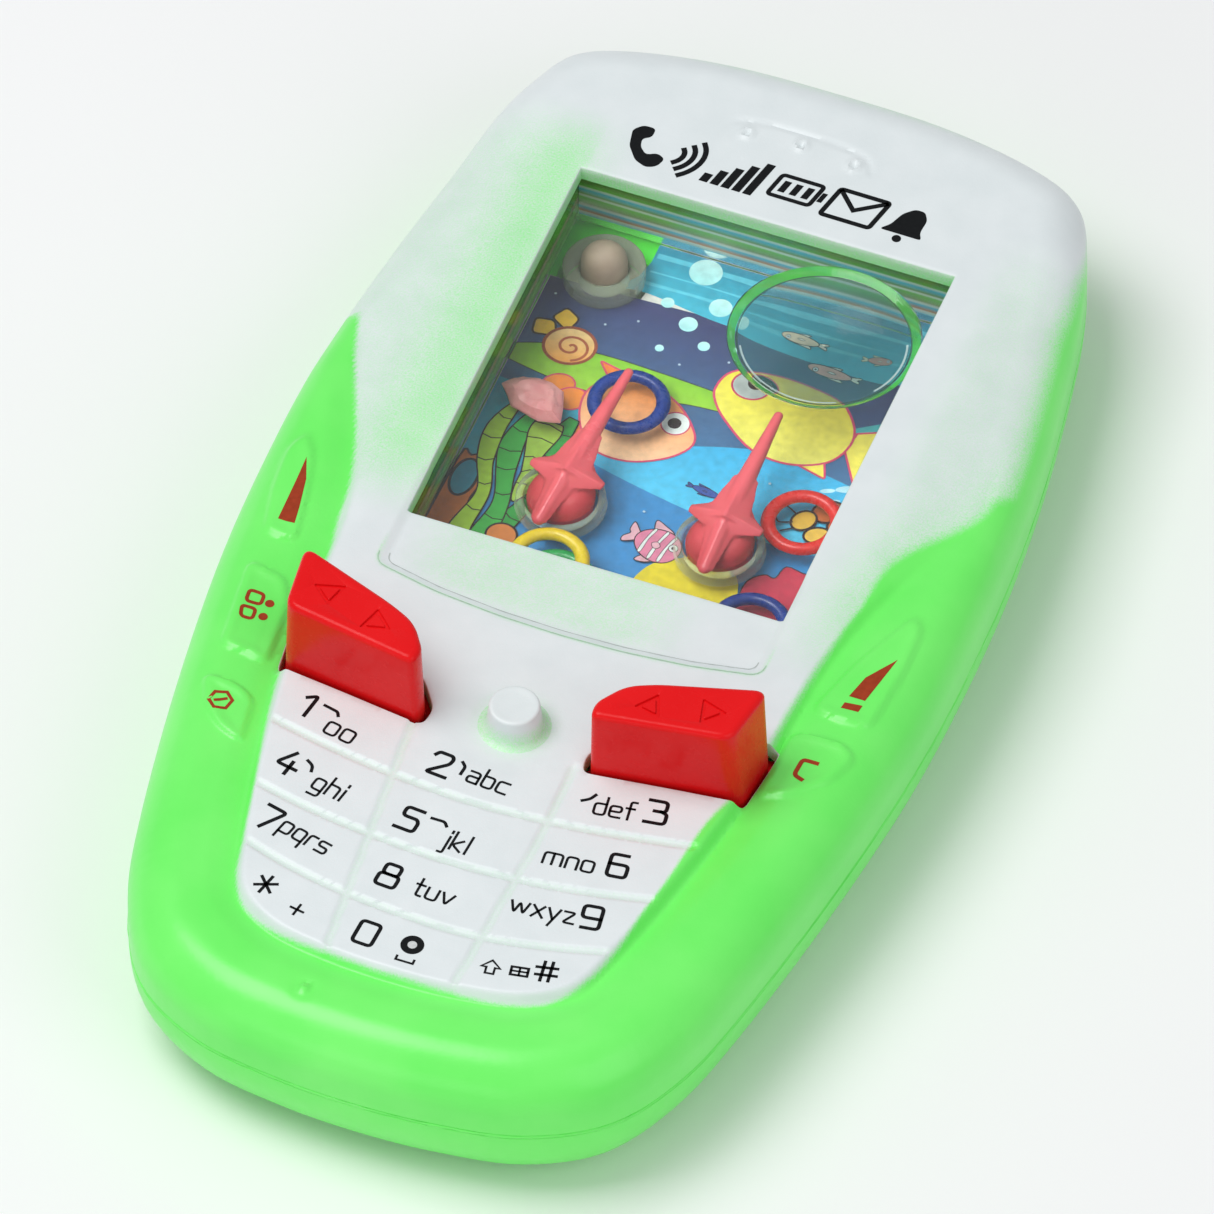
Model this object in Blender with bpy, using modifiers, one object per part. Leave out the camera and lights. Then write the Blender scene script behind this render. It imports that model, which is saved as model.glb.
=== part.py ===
"""Toy cell phone with a water ring-toss game behind its window.

Frame: metres, +Z up. The toy lies on its back: z = 0 is the back shell's flat, +Y runs to the
earpiece end and +X to the right-hand side of the face. The origin is the middle of the base.
Numbers in the tables below are millimetres, and the helpers turn them into metres.
"""

import math

import bmesh
import bpy
from mathutils import Matrix, Vector

MM = 0.001

# Driving heights of the case, from the table up.
SEAM_Z = 8.8
FACE_Z = 16.5
WING_Z = 15.4
WALL = 1.4
EDGE_RADIUS = 4.5
SEAM_GAP = 0.1
BACK_ROUND = 7.6
BACK_DROP = 8.2

# The tank: its clear walls, and the water space inside them.
TANK_WALL = 1.2
TANK_X = 18.4
TANK_Y = (-9.0, 42.3)
TANK_Z = (6.1, 13.6)
PUMP_X = 21.0
PUMP_Y = (-26.4, -10.2)
PUMP_DECK_Z = 8.0
PUMP_ROOF_Z = 7.1
NOZZLE_X = 7.4
NOZZLE_WIDTH = 2.4
SUMP_RADIUS = 4.6
SUMP_FLOOR_Z = 3.4
WELD_GAP = 0.1

# The pumps under the two buttons.
PUMP_AT = (15.4, -19.3)
BUTTON_TOP_Z = 24.7
BUTTON_FLANGE_Z = (12.9, 13.7)
BUTTON_WALL = 1.3
BUTTON_EDGE = 0.75

# The window in the face, and the pieces seen through it.
WINDOW_X = 17.8
WINDOW_Y = (-1.0, 41.6)
NUB_AT = (0.0, -20.5)
PEG_X = 7.5
PEG_Y = 11.7
PEG_BOSS_Y = 10.1
PEG_BOSS_RADIUS = 4.05
PEG_BOSS_BORE = 3.35
PEG_FOOT = 3.05
PEG_Z = 10.3
SPIKE = 12.3
PEG_LEAN = {"left": 0.085, "right": 0.015}
PEG_ARMS = {"tail": (0, -5.9, -0.6), "fin_a": (3.7, -0.2, -0.4), "fin_b": (-3.7, -0.2, -0.4)}
PLUG_AT = (-13.7, 36.8)
RING_MAJOR = 3.08
RING_MINOR = 0.68
RING_Z = TANK_Z[0] + 0.1 + RING_MINOR
BUBBLE_AT = (8.7, 32.7)
BUBBLE_SIZE = (17.2, 16.4)
BUBBLE_DEPTH = 4.0
SHELL_AT = (-13.9, 20.2)
SHELL_TURN = math.radians(-14)
SHELL_HALF = 3.5

# Centre of each loose ring, and its height: the yellow one lies on the green one.
RINGS = {
    "ring_blue_upper": (-6.0, 22.9, RING_Z, (0.02, 0.09, 0.42)),
    "ring_blue_lower": (13.2, 2.7, RING_Z, (0.02, 0.09, 0.42)),
    "ring_red": (13.3, 15.4, RING_Z, (0.72, 0.03, 0.02)),
    "ring_green": (-4.6, 1.2, RING_Z, (0.01, 0.42, 0.10)),
    "ring_yellow": (-5.8, 2.5, RING_Z + 2 * RING_MINOR + 0.15, (0.85, 0.68, 0.03)),
}

# Pins of the front shell, which press into sockets of the back shell.
PINS = ((23.5, 36.0), (26.5, 2.0), (22.5, -34.0), (11.0, -50.0))
PIN_RADIUS = 1.25
SOCKET_RADIUS = 2.5
SOCKET_BORE = 1.35

# Right half of the outline at the seam, from the earpiece end to the chin, and the edge of the
# raised face that each of those points faces.
OUTLINE = (
    (0, 60), (10, 59.7), (18.6, 58.2), (24.0, 55.8), (26.5, 51.4), (28.8, 43.8), (31.2, 30),
    (32.5, 17.5), (32.9, 5), (32.5, -8), (30.8, -23), (28.3, -38), (26.0, -47), (22.0, -54),
    (15.3, -58.1), (7.5, -59.6), (0, -60),
)
FACE_EDGE = (
    (0, 55.6), (9, 55.1), (16.2, 53.6), (19.9, 51.8), (21.6, 48.8), (24, 42), (27.4, 29),
    (29.4, 17.5), (25.4, 7), (22.8, -3.5), (21.6, -20), (19.5, -32.5), (17.4, -41.5),
    (15.6, -46.4), (11.6, -49.2), (6, -50.3), (0, -50.6),
)
POINTS_PER_SPAN = 2

# Outlines of the buttons' tops, of their feet, and of the slots that they move in. All are drawn
# on the right-hand side; the left button is a little longer at its outer corner.
BUTTON_TOPS = {
    "right": ((8.3, -23.7), (20.7, -21.8), (21.8, -15.2), (12.4, -18.0), (9.9, -19.2), (8.1, -21.9)),
    "left": ((8.4, -23.6), (21.2, -21.4), (22.0, -14.3), (12.5, -17.8), (9.9, -19.1), (8.1, -21.8)),
}
BUTTON_FOOT = ((8.0, -23.1), (21.5, -21.3), (22.2, -15.2), (12.4, -18.1), (9.6, -19.0), (7.8, -21.7))
SLOT = ((7.4, -23.65), (21.95, -21.8), (22.8, -14.3), (12.2, -17.4), (9.2, -18.5), (7.1, -21.5))


# ---------------------------------------------------------------- scene and materials


def clear_scene():
    for obj in list(bpy.data.objects):
        bpy.data.objects.remove(obj, do_unlink=True)


def collection(name, helper=False):
    made = bpy.data.collections.new(name)
    bpy.context.scene.collection.children.link(made)
    made.hide_render = helper
    return made


def plastic(name, colour, roughness=0.35, alpha=1.0):
    made = bpy.data.materials.new(name)
    made.use_nodes = True
    shader = made.node_tree.nodes["Principled BSDF"]
    shader.inputs["Base Color"].default_value = (*colour, 1)
    shader.inputs["Roughness"].default_value = roughness
    shader.inputs["Metallic"].default_value = 0.0
    shader.inputs["Alpha"].default_value = alpha
    made.diffuse_color = (*colour, alpha)
    return made


# ---------------------------------------------------------------- outlines


def whole(half):
    """A closed loop from its right half, which starts and ends on the middle line."""
    left = [(-x, y) for x, y in reversed(half[1:-1])]
    return list(half) + left


def smooth(points, per_span):
    """A closed curve through the points, with per_span points for each span."""
    made = []
    count = len(points)
    for i in range(count):
        a, b, c, d = (Vector(points[(i + k) % count]) for k in (-1, 0, 1, 2))
        for step in range(per_span):
            t = step / per_span
            made.append(
                0.5
                * (
                    2 * b
                    + (c - a) * t
                    + (2 * a - 5 * b + 4 * c - d) * t**2
                    + (3 * b - a - 3 * c + d) * t**3
                )
            )
    return made


def inset(loop, distance):
    """The loop moved inwards. It runs clockwise, so inwards is to the right of its run."""
    made = []
    for i, point in enumerate(loop):
        along = (loop[(i + 1) % len(loop)] - loop[i - 1]).normalized()
        made.append(point + Vector((along.y, -along.x)) * distance)
    return made


def flipped(points):
    """The left-hand copy of an outline, in the opposite order so that it still runs the same way."""
    return [(-x, y) for x, y in reversed(points)]


# ---------------------------------------------------------------- solids


def link(name, mesh, material, where):
    obj = bpy.data.objects.new(name, mesh)
    if material:
        mesh.materials.append(material)
    where.objects.link(obj)
    if where is cutters:
        obj.hide_render = True
        obj.display_type = "WIRE"
    return obj


def finished(name, bm, material, where):
    bmesh.ops.recalc_face_normals(bm, faces=bm.faces)
    mesh = bpy.data.meshes.new(name)
    bm.to_mesh(mesh)
    bm.free()
    return link(name, mesh, material, where)


def box(name, low, high, material=None, where=None):
    size = Vector(high) - Vector(low)
    middle = (Vector(high) + Vector(low)) / 2
    bm = bmesh.new()
    place_and_size = Matrix.Translation(middle * MM) @ Matrix.Diagonal((*size * MM, 1))
    bmesh.ops.create_cube(bm, size=1, matrix=place_and_size)
    return finished(name, bm, material, where or cutters)


def rod(name, start, end, radius, end_radius=None, sides=20, material=None, where=None):
    """A cylinder or a cone between two points."""
    start, end = Vector(start), Vector(end)
    along = end - start
    turn = along.to_track_quat("Z", "Y").to_matrix().to_4x4()
    bm = bmesh.new()
    bmesh.ops.create_cone(
        bm,
        cap_ends=True,
        segments=sides,
        radius1=radius * MM,
        radius2=(radius if end_radius is None else end_radius) * MM,
        depth=along.length * MM,
        matrix=Matrix.Translation((start + end) / 2 * MM) @ turn,
    )
    return finished(name, bm, material, where or cutters)


def ball(name, middle, radii, material=None, where=None, rings=8):
    bm = bmesh.new()
    bmesh.ops.create_uvsphere(
        bm,
        u_segments=2 * rings,
        v_segments=rings,
        radius=1,
        matrix=Matrix.Translation(Vector(middle) * MM) @ Matrix.Diagonal((*Vector(radii) * MM, 1)),
    )
    return finished(name, bm, material, where or cutters)


def torus(name, middle, major, minor, material, where, around=24, across=6):
    bpy.ops.mesh.primitive_torus_add(
        location=Vector(middle) * MM,
        major_radius=major * MM,
        minor_radius=minor * MM,
        major_segments=around,
        minor_segments=across,
    )
    obj = bpy.context.object
    obj.name = obj.data.name = name
    obj.data.materials.append(material)
    for old in list(obj.users_collection):
        old.objects.unlink(obj)
    where.objects.link(obj)
    return obj


def turned(name, profile, at, material=None, where=None, steps=20):
    """A turned piece: (radius, height) points, down the outer side, spun about the axis at a point."""
    bm = bmesh.new()
    points = [bm.verts.new((r * MM, 0, z * MM)) for r, z in profile]
    for pair in zip(points, points[1:]):
        bm.edges.new(pair)
    if profile[0][0]:
        bm.edges.new((points[-1], points[0]))
    mesh = bpy.data.meshes.new(name)
    bm.to_mesh(mesh)
    bm.free()
    obj = link(name, mesh, material, where or cutters)
    obj.location = Vector((*at, 0)) * MM
    screw = obj.modifiers.new("turn", "SCREW")
    screw.steps = screw.render_steps = steps
    screw.use_merge_vertices = True
    screw.merge_threshold = 1e-6
    screw.use_smooth_shade = False
    return obj


def loft(name, rings, material=None, where=None, closed=True):
    """Skin over rings of (x, y, z) points, capped at the last ring, and at the first one if closed."""
    bm = bmesh.new()
    loops = [[bm.verts.new(Vector(p) * MM) for p in ring] for ring in rings]
    for low, high in zip(loops, loops[1:]):
        for i in range(len(low)):
            j = (i + 1) % len(low)
            bm.faces.new((low[i], low[j], high[j], high[i]))
    bm.faces.new(loops[-1])
    if closed:
        bm.faces.new(reversed(loops[0]))
    return finished(name, bm, material, where or cutters)


def prism(name, outline, low, high, material=None, where=None):
    """A flat outline given a thickness from low to high."""
    curve = bpy.data.curves.new(f"{name}_outline", "CURVE")
    curve.dimensions = "2D"
    curve.fill_mode = "BOTH"
    curve.extrude = (high - low) / 2 * MM
    spline = curve.splines.new("POLY")
    spline.points.add(len(outline) - 1)
    for point, (x, y) in zip(spline.points, outline):
        point.co = (x * MM, y * MM, 0, 1)
    spline.use_cyclic_u = True
    flat = link(f"{name}_outline", curve, None, cutters)
    flat.location.z = (low + high) / 2 * MM
    bpy.context.view_layer.update()
    mesh = bpy.data.meshes.new_from_object(flat.evaluated_get(bpy.context.evaluated_depsgraph_get()))
    mesh.transform(flat.matrix_world)
    bpy.data.objects.remove(flat, do_unlink=True)
    bm = bmesh.new()
    bm.from_mesh(mesh)
    bmesh.ops.remove_doubles(bm, verts=bm.verts, dist=1e-6)
    return finished(name, bm, material, where or cutters)


def boolean(obj, others, operation):
    for other in others:
        modifier = obj.modifiers.new(f"{operation.lower()} {other.name}", "BOOLEAN")
        modifier.operation = operation
        modifier.object = other
        modifier.solver = "EXACT"


def cut(obj, *others):
    boolean(obj, others, "DIFFERENCE")


def join(obj, *others):
    boolean(obj, others, "UNION")


def bevel(obj, width, segments=2, angle=35):
    modifier = obj.modifiers.new("bevel", "BEVEL")
    modifier.width = width * MM
    modifier.segments = segments
    modifier.limit_method = "ANGLE"
    modifier.angle_limit = math.radians(angle)
    modifier.use_clamp_overlap = True


def solidify(obj, thickness):
    modifier = obj.modifiers.new("wall", "SOLIDIFY")
    modifier.thickness = thickness * MM
    modifier.offset = -1
    modifier.use_even_offset = True


def place(obj, at):
    """Puts the origin at a point and leaves the shape where it is."""
    shift = Vector(at) * MM - obj.location
    obj.data.transform(Matrix.Translation(-shift))
    obj.location += shift


def shade(obj, angle=35):
    obj.data.shade_smooth()
    obj.data.set_sharp_from_angle(angle=math.radians(angle))


# ---------------------------------------------------------------- the two shells


def at_height(loop, z):
    """The loop at one height, or at z(y)."""
    return [(p.x, p.y, z(p.y) if callable(z) else z) for p in loop]


def wing_height(y):
    """The wings and the chin lie lower than the raised face, which they meet near the middle."""
    share = min(1.0, max(0.0, (y - 9.0) / 13.0))
    return WING_Z + (FACE_Z - 0.05 - WING_Z) * share * share * (3 - 2 * share)


def both_pins():
    return [(side * x, y) for x, y in PINS for side in (1, -1)]


def front_shell():
    outline = smooth(whole(OUTLINE), POINTS_PER_SPAN)
    edge = smooth(whole(FACE_EDGE), POINTS_PER_SPAN)
    rings = [
        at_height(outline, SEAM_Z + SEAM_GAP / 2),
        at_height(outline, lambda y: wing_height(y) - EDGE_RADIUS),
    ]
    for share in (0.08, 0.3, 0.65):
        drop = EDGE_RADIUS * (1 - math.sqrt(1 - (1 - share) ** 2))
        at = inset(outline, EDGE_RADIUS * share)
        rings.append(at_height(at, lambda y, drop=drop: wing_height(y) - drop))
    rings += [
        at_height(inset(edge, -0.25), wing_height),
        at_height(inset(edge, 0.25), FACE_Z),
    ]
    shell = loft("front_shell", rings, green, parts, closed=False)
    solidify(shell, WALL)
    window = box("window_hole", (-WINDOW_X, WINDOW_Y[0], 12), (WINDOW_X, WINDOW_Y[1], 20))
    slots = [
        prism("slot_right", SLOT, 12, 20),
        prism("slot_left", flipped(SLOT), 12, 20),
    ]
    nub = turned("nub", ((0, 19.0), (2.0, 19.0), (2.3, 18.7), (2.7, 16.0), (0, 16.0)), NUB_AT)
    pins = [
        rod(f"pin_{i}", (x, y, 5.0), (x, y, wing_height(y) - WALL / 2), PIN_RADIUS, sides=12)
        for i, (x, y) in enumerate(both_pins())
    ]
    join(shell, nub, *pins)
    cut(shell, window, *slots)
    shade(shell)


def back_shell():
    outline = smooth(whole(OUTLINE), POINTS_PER_SPAN)
    quarter = [math.radians(a) for a in (0, 30, 60, 90)]
    rings = [at_height(outline, SEAM_Z - SEAM_GAP / 2)]
    rings += [
        at_height(inset(outline, BACK_ROUND * (1 - math.cos(a))), BACK_DROP * (1 - math.sin(a)))
        for a in quarter
    ]
    shell = loft("back_shell", rings, green, parts, closed=False)
    solidify(shell, WALL)
    sockets = [
        rod(f"socket_{i}", (x, y, WALL - 0.2), (x, y, SEAM_Z - 1.0), SOCKET_RADIUS, sides=16)
        for i, (x, y) in enumerate(both_pins())
    ]
    bores = [
        rod(f"socket_bore_{i}", (x, y, 2.5), (x, y, SEAM_Z + 1.0), SOCKET_BORE, sides=12)
        for i, (x, y) in enumerate(both_pins())
    ]
    ribs = [
        box(f"rib_{i}", (-17.0, y - 0.6, WALL / 2), (17.0, y + 0.6, 4.0))
        for i, y in enumerate((0.0, 14.0, 28.0))
    ]
    plug_pad = rod("plug_pad", (*PLUG_AT, WALL / 2), (*PLUG_AT, 4.1), 7.8)
    plug_hole = rod("plug_hole", (*PLUG_AT, -1), (*PLUG_AT, 5), 4.3)
    join(shell, *sockets, *ribs, plug_pad)
    cut(shell, *bores, plug_hole)
    shade(shell)


# ---------------------------------------------------------------- the tank and what it holds


def tank_front():
    """The clear front half: a deep tray behind the window, and a low deck under the buttons."""
    foot = TANK_Z[0] + WELD_GAP
    wall = TANK_WALL
    tank = box(
        "tank_front",
        (-TANK_X - wall, TANK_Y[0] - wall, foot),
        (TANK_X + wall, TANK_Y[1] + wall, TANK_Z[1] + wall),
        clear,
        parts,
    )
    deck = box(
        "tank_deck",
        (-PUMP_X - wall, PUMP_Y[0] - wall, foot),
        (PUMP_X + wall, TANK_Y[0] - wall / 2, PUMP_DECK_Z),
    )
    rim = box(
        "tank_rim",
        (-TANK_X - wall - 0.9, TANK_Y[0], foot),
        (TANK_X + wall + 0.9, TANK_Y[1] + wall + 0.9, foot + 0.9),
    )
    inside = box("tank_inside", (-TANK_X, TANK_Y[0], 4), (TANK_X, TANK_Y[1], TANK_Z[1]))
    cuts = [inside]
    for side, label in ((1, "right"), (-1, "left")):
        xs = sorted((side * 0.6, side * PUMP_X))
        cuts.append(
            box(f"pump_room_{label}", (xs[0], PUMP_Y[0], 4), (xs[1], PUMP_Y[1], PUMP_ROOF_Z))
        )
        nozzle = sorted((side * (NOZZLE_X - NOZZLE_WIDTH / 2), side * (NOZZLE_X + NOZZLE_WIDTH / 2)))
        low = (nozzle[0], PUMP_Y[1] - 1, 4)
        cuts.append(box(f"nozzle_{label}", low, (nozzle[1], TANK_Y[0] + 1, PUMP_ROOF_Z - 0.2)))
        at = (side * PUMP_AT[0], PUMP_AT[1])
        neck = rod(f"neck_{label}", (*at, PUMP_DECK_Z - 0.5), (*at, PUMP_DECK_Z + 0.5), 3.7)
        join(tank, neck)
        cuts.append(rod(f"port_{label}", (*at, 5), (*at, 12), 3.0))
    join(tank, deck, rim)
    cut(tank, *cuts)
    shade(tank)


def tank_back():
    """The clear back plate, with a boss for each peg, the filler neck, and a sump under each pump."""
    top, bottom = TANK_Z[0], TANK_Z[0] - TANK_WALL
    wall = TANK_WALL
    plate = box(
        "tank_back",
        (-TANK_X - wall - 0.9, TANK_Y[0] - wall, bottom),
        (TANK_X + wall + 0.9, TANK_Y[1] + wall + 0.9, top),
        clear,
        parts,
    )
    join(
        plate,
        box("plate_foot", (-PUMP_X - wall, PUMP_Y[0] - wall, bottom), (PUMP_X + wall, TANK_Y[0], top)),
        rod("filler_neck", (*PLUG_AT, 2.9), (*PLUG_AT, top + 1.2), 3.7),
    )
    for side, label in ((1, "right"), (-1, "left")):
        at = (side * PUMP_AT[0], PUMP_AT[1])
        boss = (side * PEG_X, PEG_BOSS_Y)
        join(
            plate,
            rod(f"sump_{label}", (*at, SUMP_FLOOR_Z - 1.0), (*at, bottom + 0.5), SUMP_RADIUS + 1.0),
            rod(f"peg_boss_{label}", (*boss, bottom + 0.2), (*boss, top + 1.7), PEG_BOSS_RADIUS),
        )
        cut(
            plate,
            rod(f"sump_room_{label}", (*at, SUMP_FLOOR_Z), (*at, top + 1), SUMP_RADIUS),
            rod(f"peg_socket_{label}", (*boss, top + 0.1), (*boss, top + 3), PEG_BOSS_BORE),
        )
    cut(plate, rod("filler_bore", (*PLUG_AT, 0), (*PLUG_AT, 12), 2.3))
    shade(plate)


def picture_card():
    low, high = TANK_Z[0] - TANK_WALL - 0.6, TANK_Z[0] - TANK_WALL - 0.3
    card = box(
        "picture_card",
        (-TANK_X + 0.1, TANK_Y[0] + 0.6, low),
        (TANK_X - 0.1, TANK_Y[1] - 0.1, high),
        paper,
        parts,
    )
    corner = Vector((-10.4, 35.4))
    radius = 4.5
    arc = [
        (
            corner.x - radius + radius * math.cos(math.radians(a)),
            corner.y + radius + radius * math.sin(math.radians(a)),
        )
        for a in range(-90, 1, 15)
    ]
    notch = [(-20, 45), (-20, corner.y), *arc, (corner.x, 45)]
    cut(card, prism("card_notch", notch, 2, 6), rod("card_hole", (*PLUG_AT, 2), (*PLUG_AT, 6), 4.1))


def peg_limbs(name, side, lean, grow):
    """What stands on the pedestal: a hub on its body, the spike, the tail and two fins."""
    x = side * PEG_X
    foot = Vector((x, PEG_BOSS_Y, TANK_Z[0] + 1.7))
    hub = Vector((x, PEG_Y, PEG_Z))
    spike = Vector((math.sin(lean), math.cos(lean), 0.05))
    limbs = [
        rod(f"{name}_body", foot, hub, 2.5 + grow, 1.7 + grow, sides=16),
        ball(f"{name}_hub", hub, (1.9 + grow, 1.9 + grow, 1.4 + grow)),
        rod(f"{name}_spike", hub, hub + spike * (SPIKE + grow), 1.25 + grow, 0.45 + grow, sides=12),
    ]
    for label, reach in PEG_ARMS.items():
        way = Vector(reach)
        tip = hub + way + way.normalized() * grow
        limbs.append(rod(f"{name}_{label}", hub, tip, 1.5 + grow, 0.5 + grow, sides=12))
    return limbs


def peg(name, side, lean):
    """A pedestal in its boss, and on it a four-armed star whose long arm is the spike."""
    at = (side * PEG_X, PEG_BOSS_Y)
    foot = (*at, TANK_Z[0] + 0.4)
    post = rod(
        name, foot, (*at, TANK_Z[0] + 1.9), PEG_FOOT, sides=20, material=pink, where=parts
    )
    join(post, *peg_limbs(name, side, lean, 0))
    place(post, (*at, TANK_Z[0]))
    shade(post)


def filler_plug():
    """A rubber stopper, pushed up through the filler neck from behind."""
    profile = (
        (0, 10.4), (1.2, 10.2), (1.9, 9.4), (2.1, 8.2), (2.1, 2.6),
        (3.7, 2.6), (3.7, 0.9), (3.3, 0.5), (0, 0.5),
    )
    plug = turned("filler_plug", profile, PLUG_AT, rubber, parts)
    shade(plug)


def loose_pieces():
    for name, (x, y, z, colour) in RINGS.items():
        ring = torus(name, (x, y, z), RING_MAJOR, RING_MINOR, plastic(name, colour), parts)
        shade(ring)
    bm = bmesh.new()
    bmesh.ops.create_icosphere(bm, subdivisions=2, radius=1)
    for v in bm.verts:
        taper = 0.85 + 0.15 * v.co.x
        v.co = Vector((v.co.x * SHELL_HALF, v.co.y * 2.7 * taper, v.co.z * 0.85)) * MM
    turn = Matrix.Rotation(SHELL_TURN, 4, "Z")
    move = Matrix.Translation(Vector((*SHELL_AT, TANK_Z[0] + 1.1)) * MM)
    bmesh.ops.transform(bm, matrix=move @ turn, verts=bm.verts)
    place(finished("floating_shell", bm, pale_pink, parts), (*SHELL_AT, TANK_Z[0]))


def water():
    """The fill of the tank, round everything that stands or lies in it, and under the air bubble."""
    slack = 0.15
    low, high = TANK_Z[0] + 0.2, TANK_Z[1] - slack
    fill = box(
        "water",
        (-TANK_X + slack, TANK_Y[0] + slack, low),
        (TANK_X - slack, TANK_Y[1] - slack, high),
        liquid,
        parts,
    )
    pieces = []
    for side, label in ((1, "right"), (-1, "left")):
        xs = sorted((side * (0.6 + slack), side * (PUMP_X - slack)))
        half = NOZZLE_WIDTH / 2 - slack
        nozzle = sorted((side * (NOZZLE_X - half), side * (NOZZLE_X + half)))
        pump_top = (xs[1], PUMP_Y[1] - slack, PUMP_ROOF_Z - slack)
        nozzle_top = (nozzle[1], TANK_Y[0] + 1, PUMP_ROOF_Z - 0.4)
        at = (side * PUMP_AT[0], PUMP_AT[1])
        join(
            fill,
            box(f"pump_water_{label}", (xs[0], PUMP_Y[0] + slack, low), pump_top),
            box(f"nozzle_water_{label}", (nozzle[0], PUMP_Y[1] - 1, low + 0.05), nozzle_top),
            rod(f"sump_water_{label}", (*at, SUMP_FLOOR_Z + slack), (*at, low + 0.5), SUMP_RADIUS - slack),
            rod(f"neck_water_{label}", (*at, low + 0.3), (*at, PUMP_DECK_Z + 0.6), 3.0 - slack),
        )
        boss = (side * PEG_X, PEG_BOSS_Y)
        pieces.append(rod(f"peg_room_{label}", (*boss, 4), (*boss, TANK_Z[0] + 2.2), PEG_BOSS_RADIUS + 0.2))
        pieces += peg_limbs(f"peg_room_{label}", side, PEG_LEAN[label], 0.3)
    for name, (x, y, z, _) in RINGS.items():
        top = z + RING_MINOR + 0.25
        inner = RING_MAJOR - RING_MINOR - 0.25
        outer = RING_MAJOR + RING_MINOR + 0.25
        groove = ((inner, 5), (inner, top), (outer, top), (outer, 5))
        pieces.append(turned(f"{name}_room", groove, (x, y), steps=16))
    across = Vector((math.cos(SHELL_TURN), math.sin(SHELL_TURN)))
    middle = Vector(SHELL_AT)
    for i, (share, radius) in enumerate(((-0.7, 1.65), (0.0, 2.7), (0.5, 2.75))):
        at = middle + across * SHELL_HALF * share
        pieces.append(rod(f"shell_room_{i}", (*at, 5), (*at, TANK_Z[0] + 2.4), radius, sides=16))
    pieces.append(rod("neck_room", (*PLUG_AT, 5), (*PLUG_AT, TANK_Z[0] + 1.4), 3.95))
    pieces.append(rod("plug_room", (*PLUG_AT, 5), (*PLUG_AT, 10.7), 2.4))
    air = ball(
        "bubble",
        (*BUBBLE_AT, TANK_Z[1]),
        (BUBBLE_SIZE[0] / 2, BUBBLE_SIZE[1] / 2, BUBBLE_DEPTH),
        rings=9,
    )
    cut(fill, *pieces, air)
    shade(fill)


# ---------------------------------------------------------------- the two pumps


def button(name, side):
    top = BUTTON_TOPS["right"] if side > 0 else flipped(BUTTON_TOPS["left"])
    foot = BUTTON_FOOT if side > 0 else flipped(BUTTON_FOOT)
    middle = Vector((side * PUMP_AT[0], PUMP_AT[1]))

    def scaled(outline, by):
        return [Vector(p) + (Vector(p) - middle).normalized() * by for p in outline]

    low, high = BUTTON_FLANGE_Z
    cap = loft(
        name,
        [[(*p, low) for p in foot], [(*p, FACE_Z) for p in foot], [(*p, BUTTON_TOP_Z) for p in top]],
        red,
        parts,
    )
    bevel(cap, BUTTON_EDGE, segments=3, angle=30)
    hollow = loft(
        f"{name}_hollow",
        [
            [(*p, low - 1) for p in scaled(foot, -BUTTON_WALL)],
            [(*p, BUTTON_TOP_Z - 1.6) for p in scaled(top, -BUTTON_WALL)],
        ],
    )
    flange_rim = prism(f"{name}_flange", scaled(foot, 1.1), low, high)
    stem = rod(f"{name}_stem", (*middle, low), (*middle, BUTTON_TOP_Z - 1.2), 1.6, sides=16)
    join(cap, flange_rim)
    cut(cap, hollow)
    join(cap, stem)
    place(cap, (*middle, low))
    shade(cap)


def bellows(name, side):
    """The rubber dome that a button squeezes."""
    profile = (
        (0, 12.6), (2.6, 12.6), (3.2, 12.2), (4.4, 9.2), (4.5, 8.8), (5.4, 8.8), (5.4, 8.3),
        (4.2, 8.3), (3.9, 8.9), (2.7, 11.7), (2.4, 11.9), (0, 11.9),
    )
    shade(turned(name, profile, (side * PUMP_AT[0], PUMP_AT[1]), rubber, parts))


def collar(name, side):
    """The ring that holds the dome's rim down on the tank."""
    profile = ((4.8, 9.3), (6.2, 9.3), (6.2, 8.2), (5.6, 8.2), (5.6, 9.0), (4.8, 9.0))
    shade(turned(name, profile, (side * PUMP_AT[0], PUMP_AT[1]), white, parts))


# ---------------------------------------------------------------- build

clear_scene()
parts = collection("toy_cell_phone")
cutters = collection("cutters", helper=True)
green = plastic("green_plastic", (0.16, 0.86, 0.10), 0.32)
white = plastic("white_plastic", (0.82, 0.84, 0.86), 0.4)
red = plastic("red_plastic", (0.80, 0.02, 0.02), 0.25)
pink = plastic("pink_plastic", (0.80, 0.13, 0.17), 0.3)
pale_pink = plastic("pale_pink_plastic", (0.85, 0.42, 0.40), 0.3, alpha=0.7)
clear = plastic("clear_plastic", (0.9, 0.95, 0.95), 0.05, alpha=0.25)
liquid = plastic("water_fill", (0.75, 0.9, 0.95), 0.02, alpha=0.3)
rubber = plastic("beige_rubber", (0.50, 0.39, 0.32), 0.6)
paper = plastic("printed_card", (0.10, 0.45, 0.70), 0.5)

front_shell()
back_shell()
tank_front()
tank_back()
picture_card()
filler_plug()
loose_pieces()
water()
for label, side in (("left", -1), ("right", 1)):
    peg(f"peg_{label}", side, PEG_LEAN[label])
    button(f"button_{label}", side)
    bellows(f"pump_bellows_{label}", side)
    collar(f"bellows_collar_{label}", side)
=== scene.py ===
"""Looks of the toy cell phone: a hand-held water ring-toss game in a phone-shaped case.

Shapes are worked out in millimetres on the frame's own axes (x to the right of the face, y to the
earpiece end, z out of the face) and turned into metres when a mesh is made.
"""

import math

import bmesh
import bpy
import numpy as np
from mathutils import Matrix, Vector, noise
from mathutils.geometry import delaunay_2d_cdt


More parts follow.
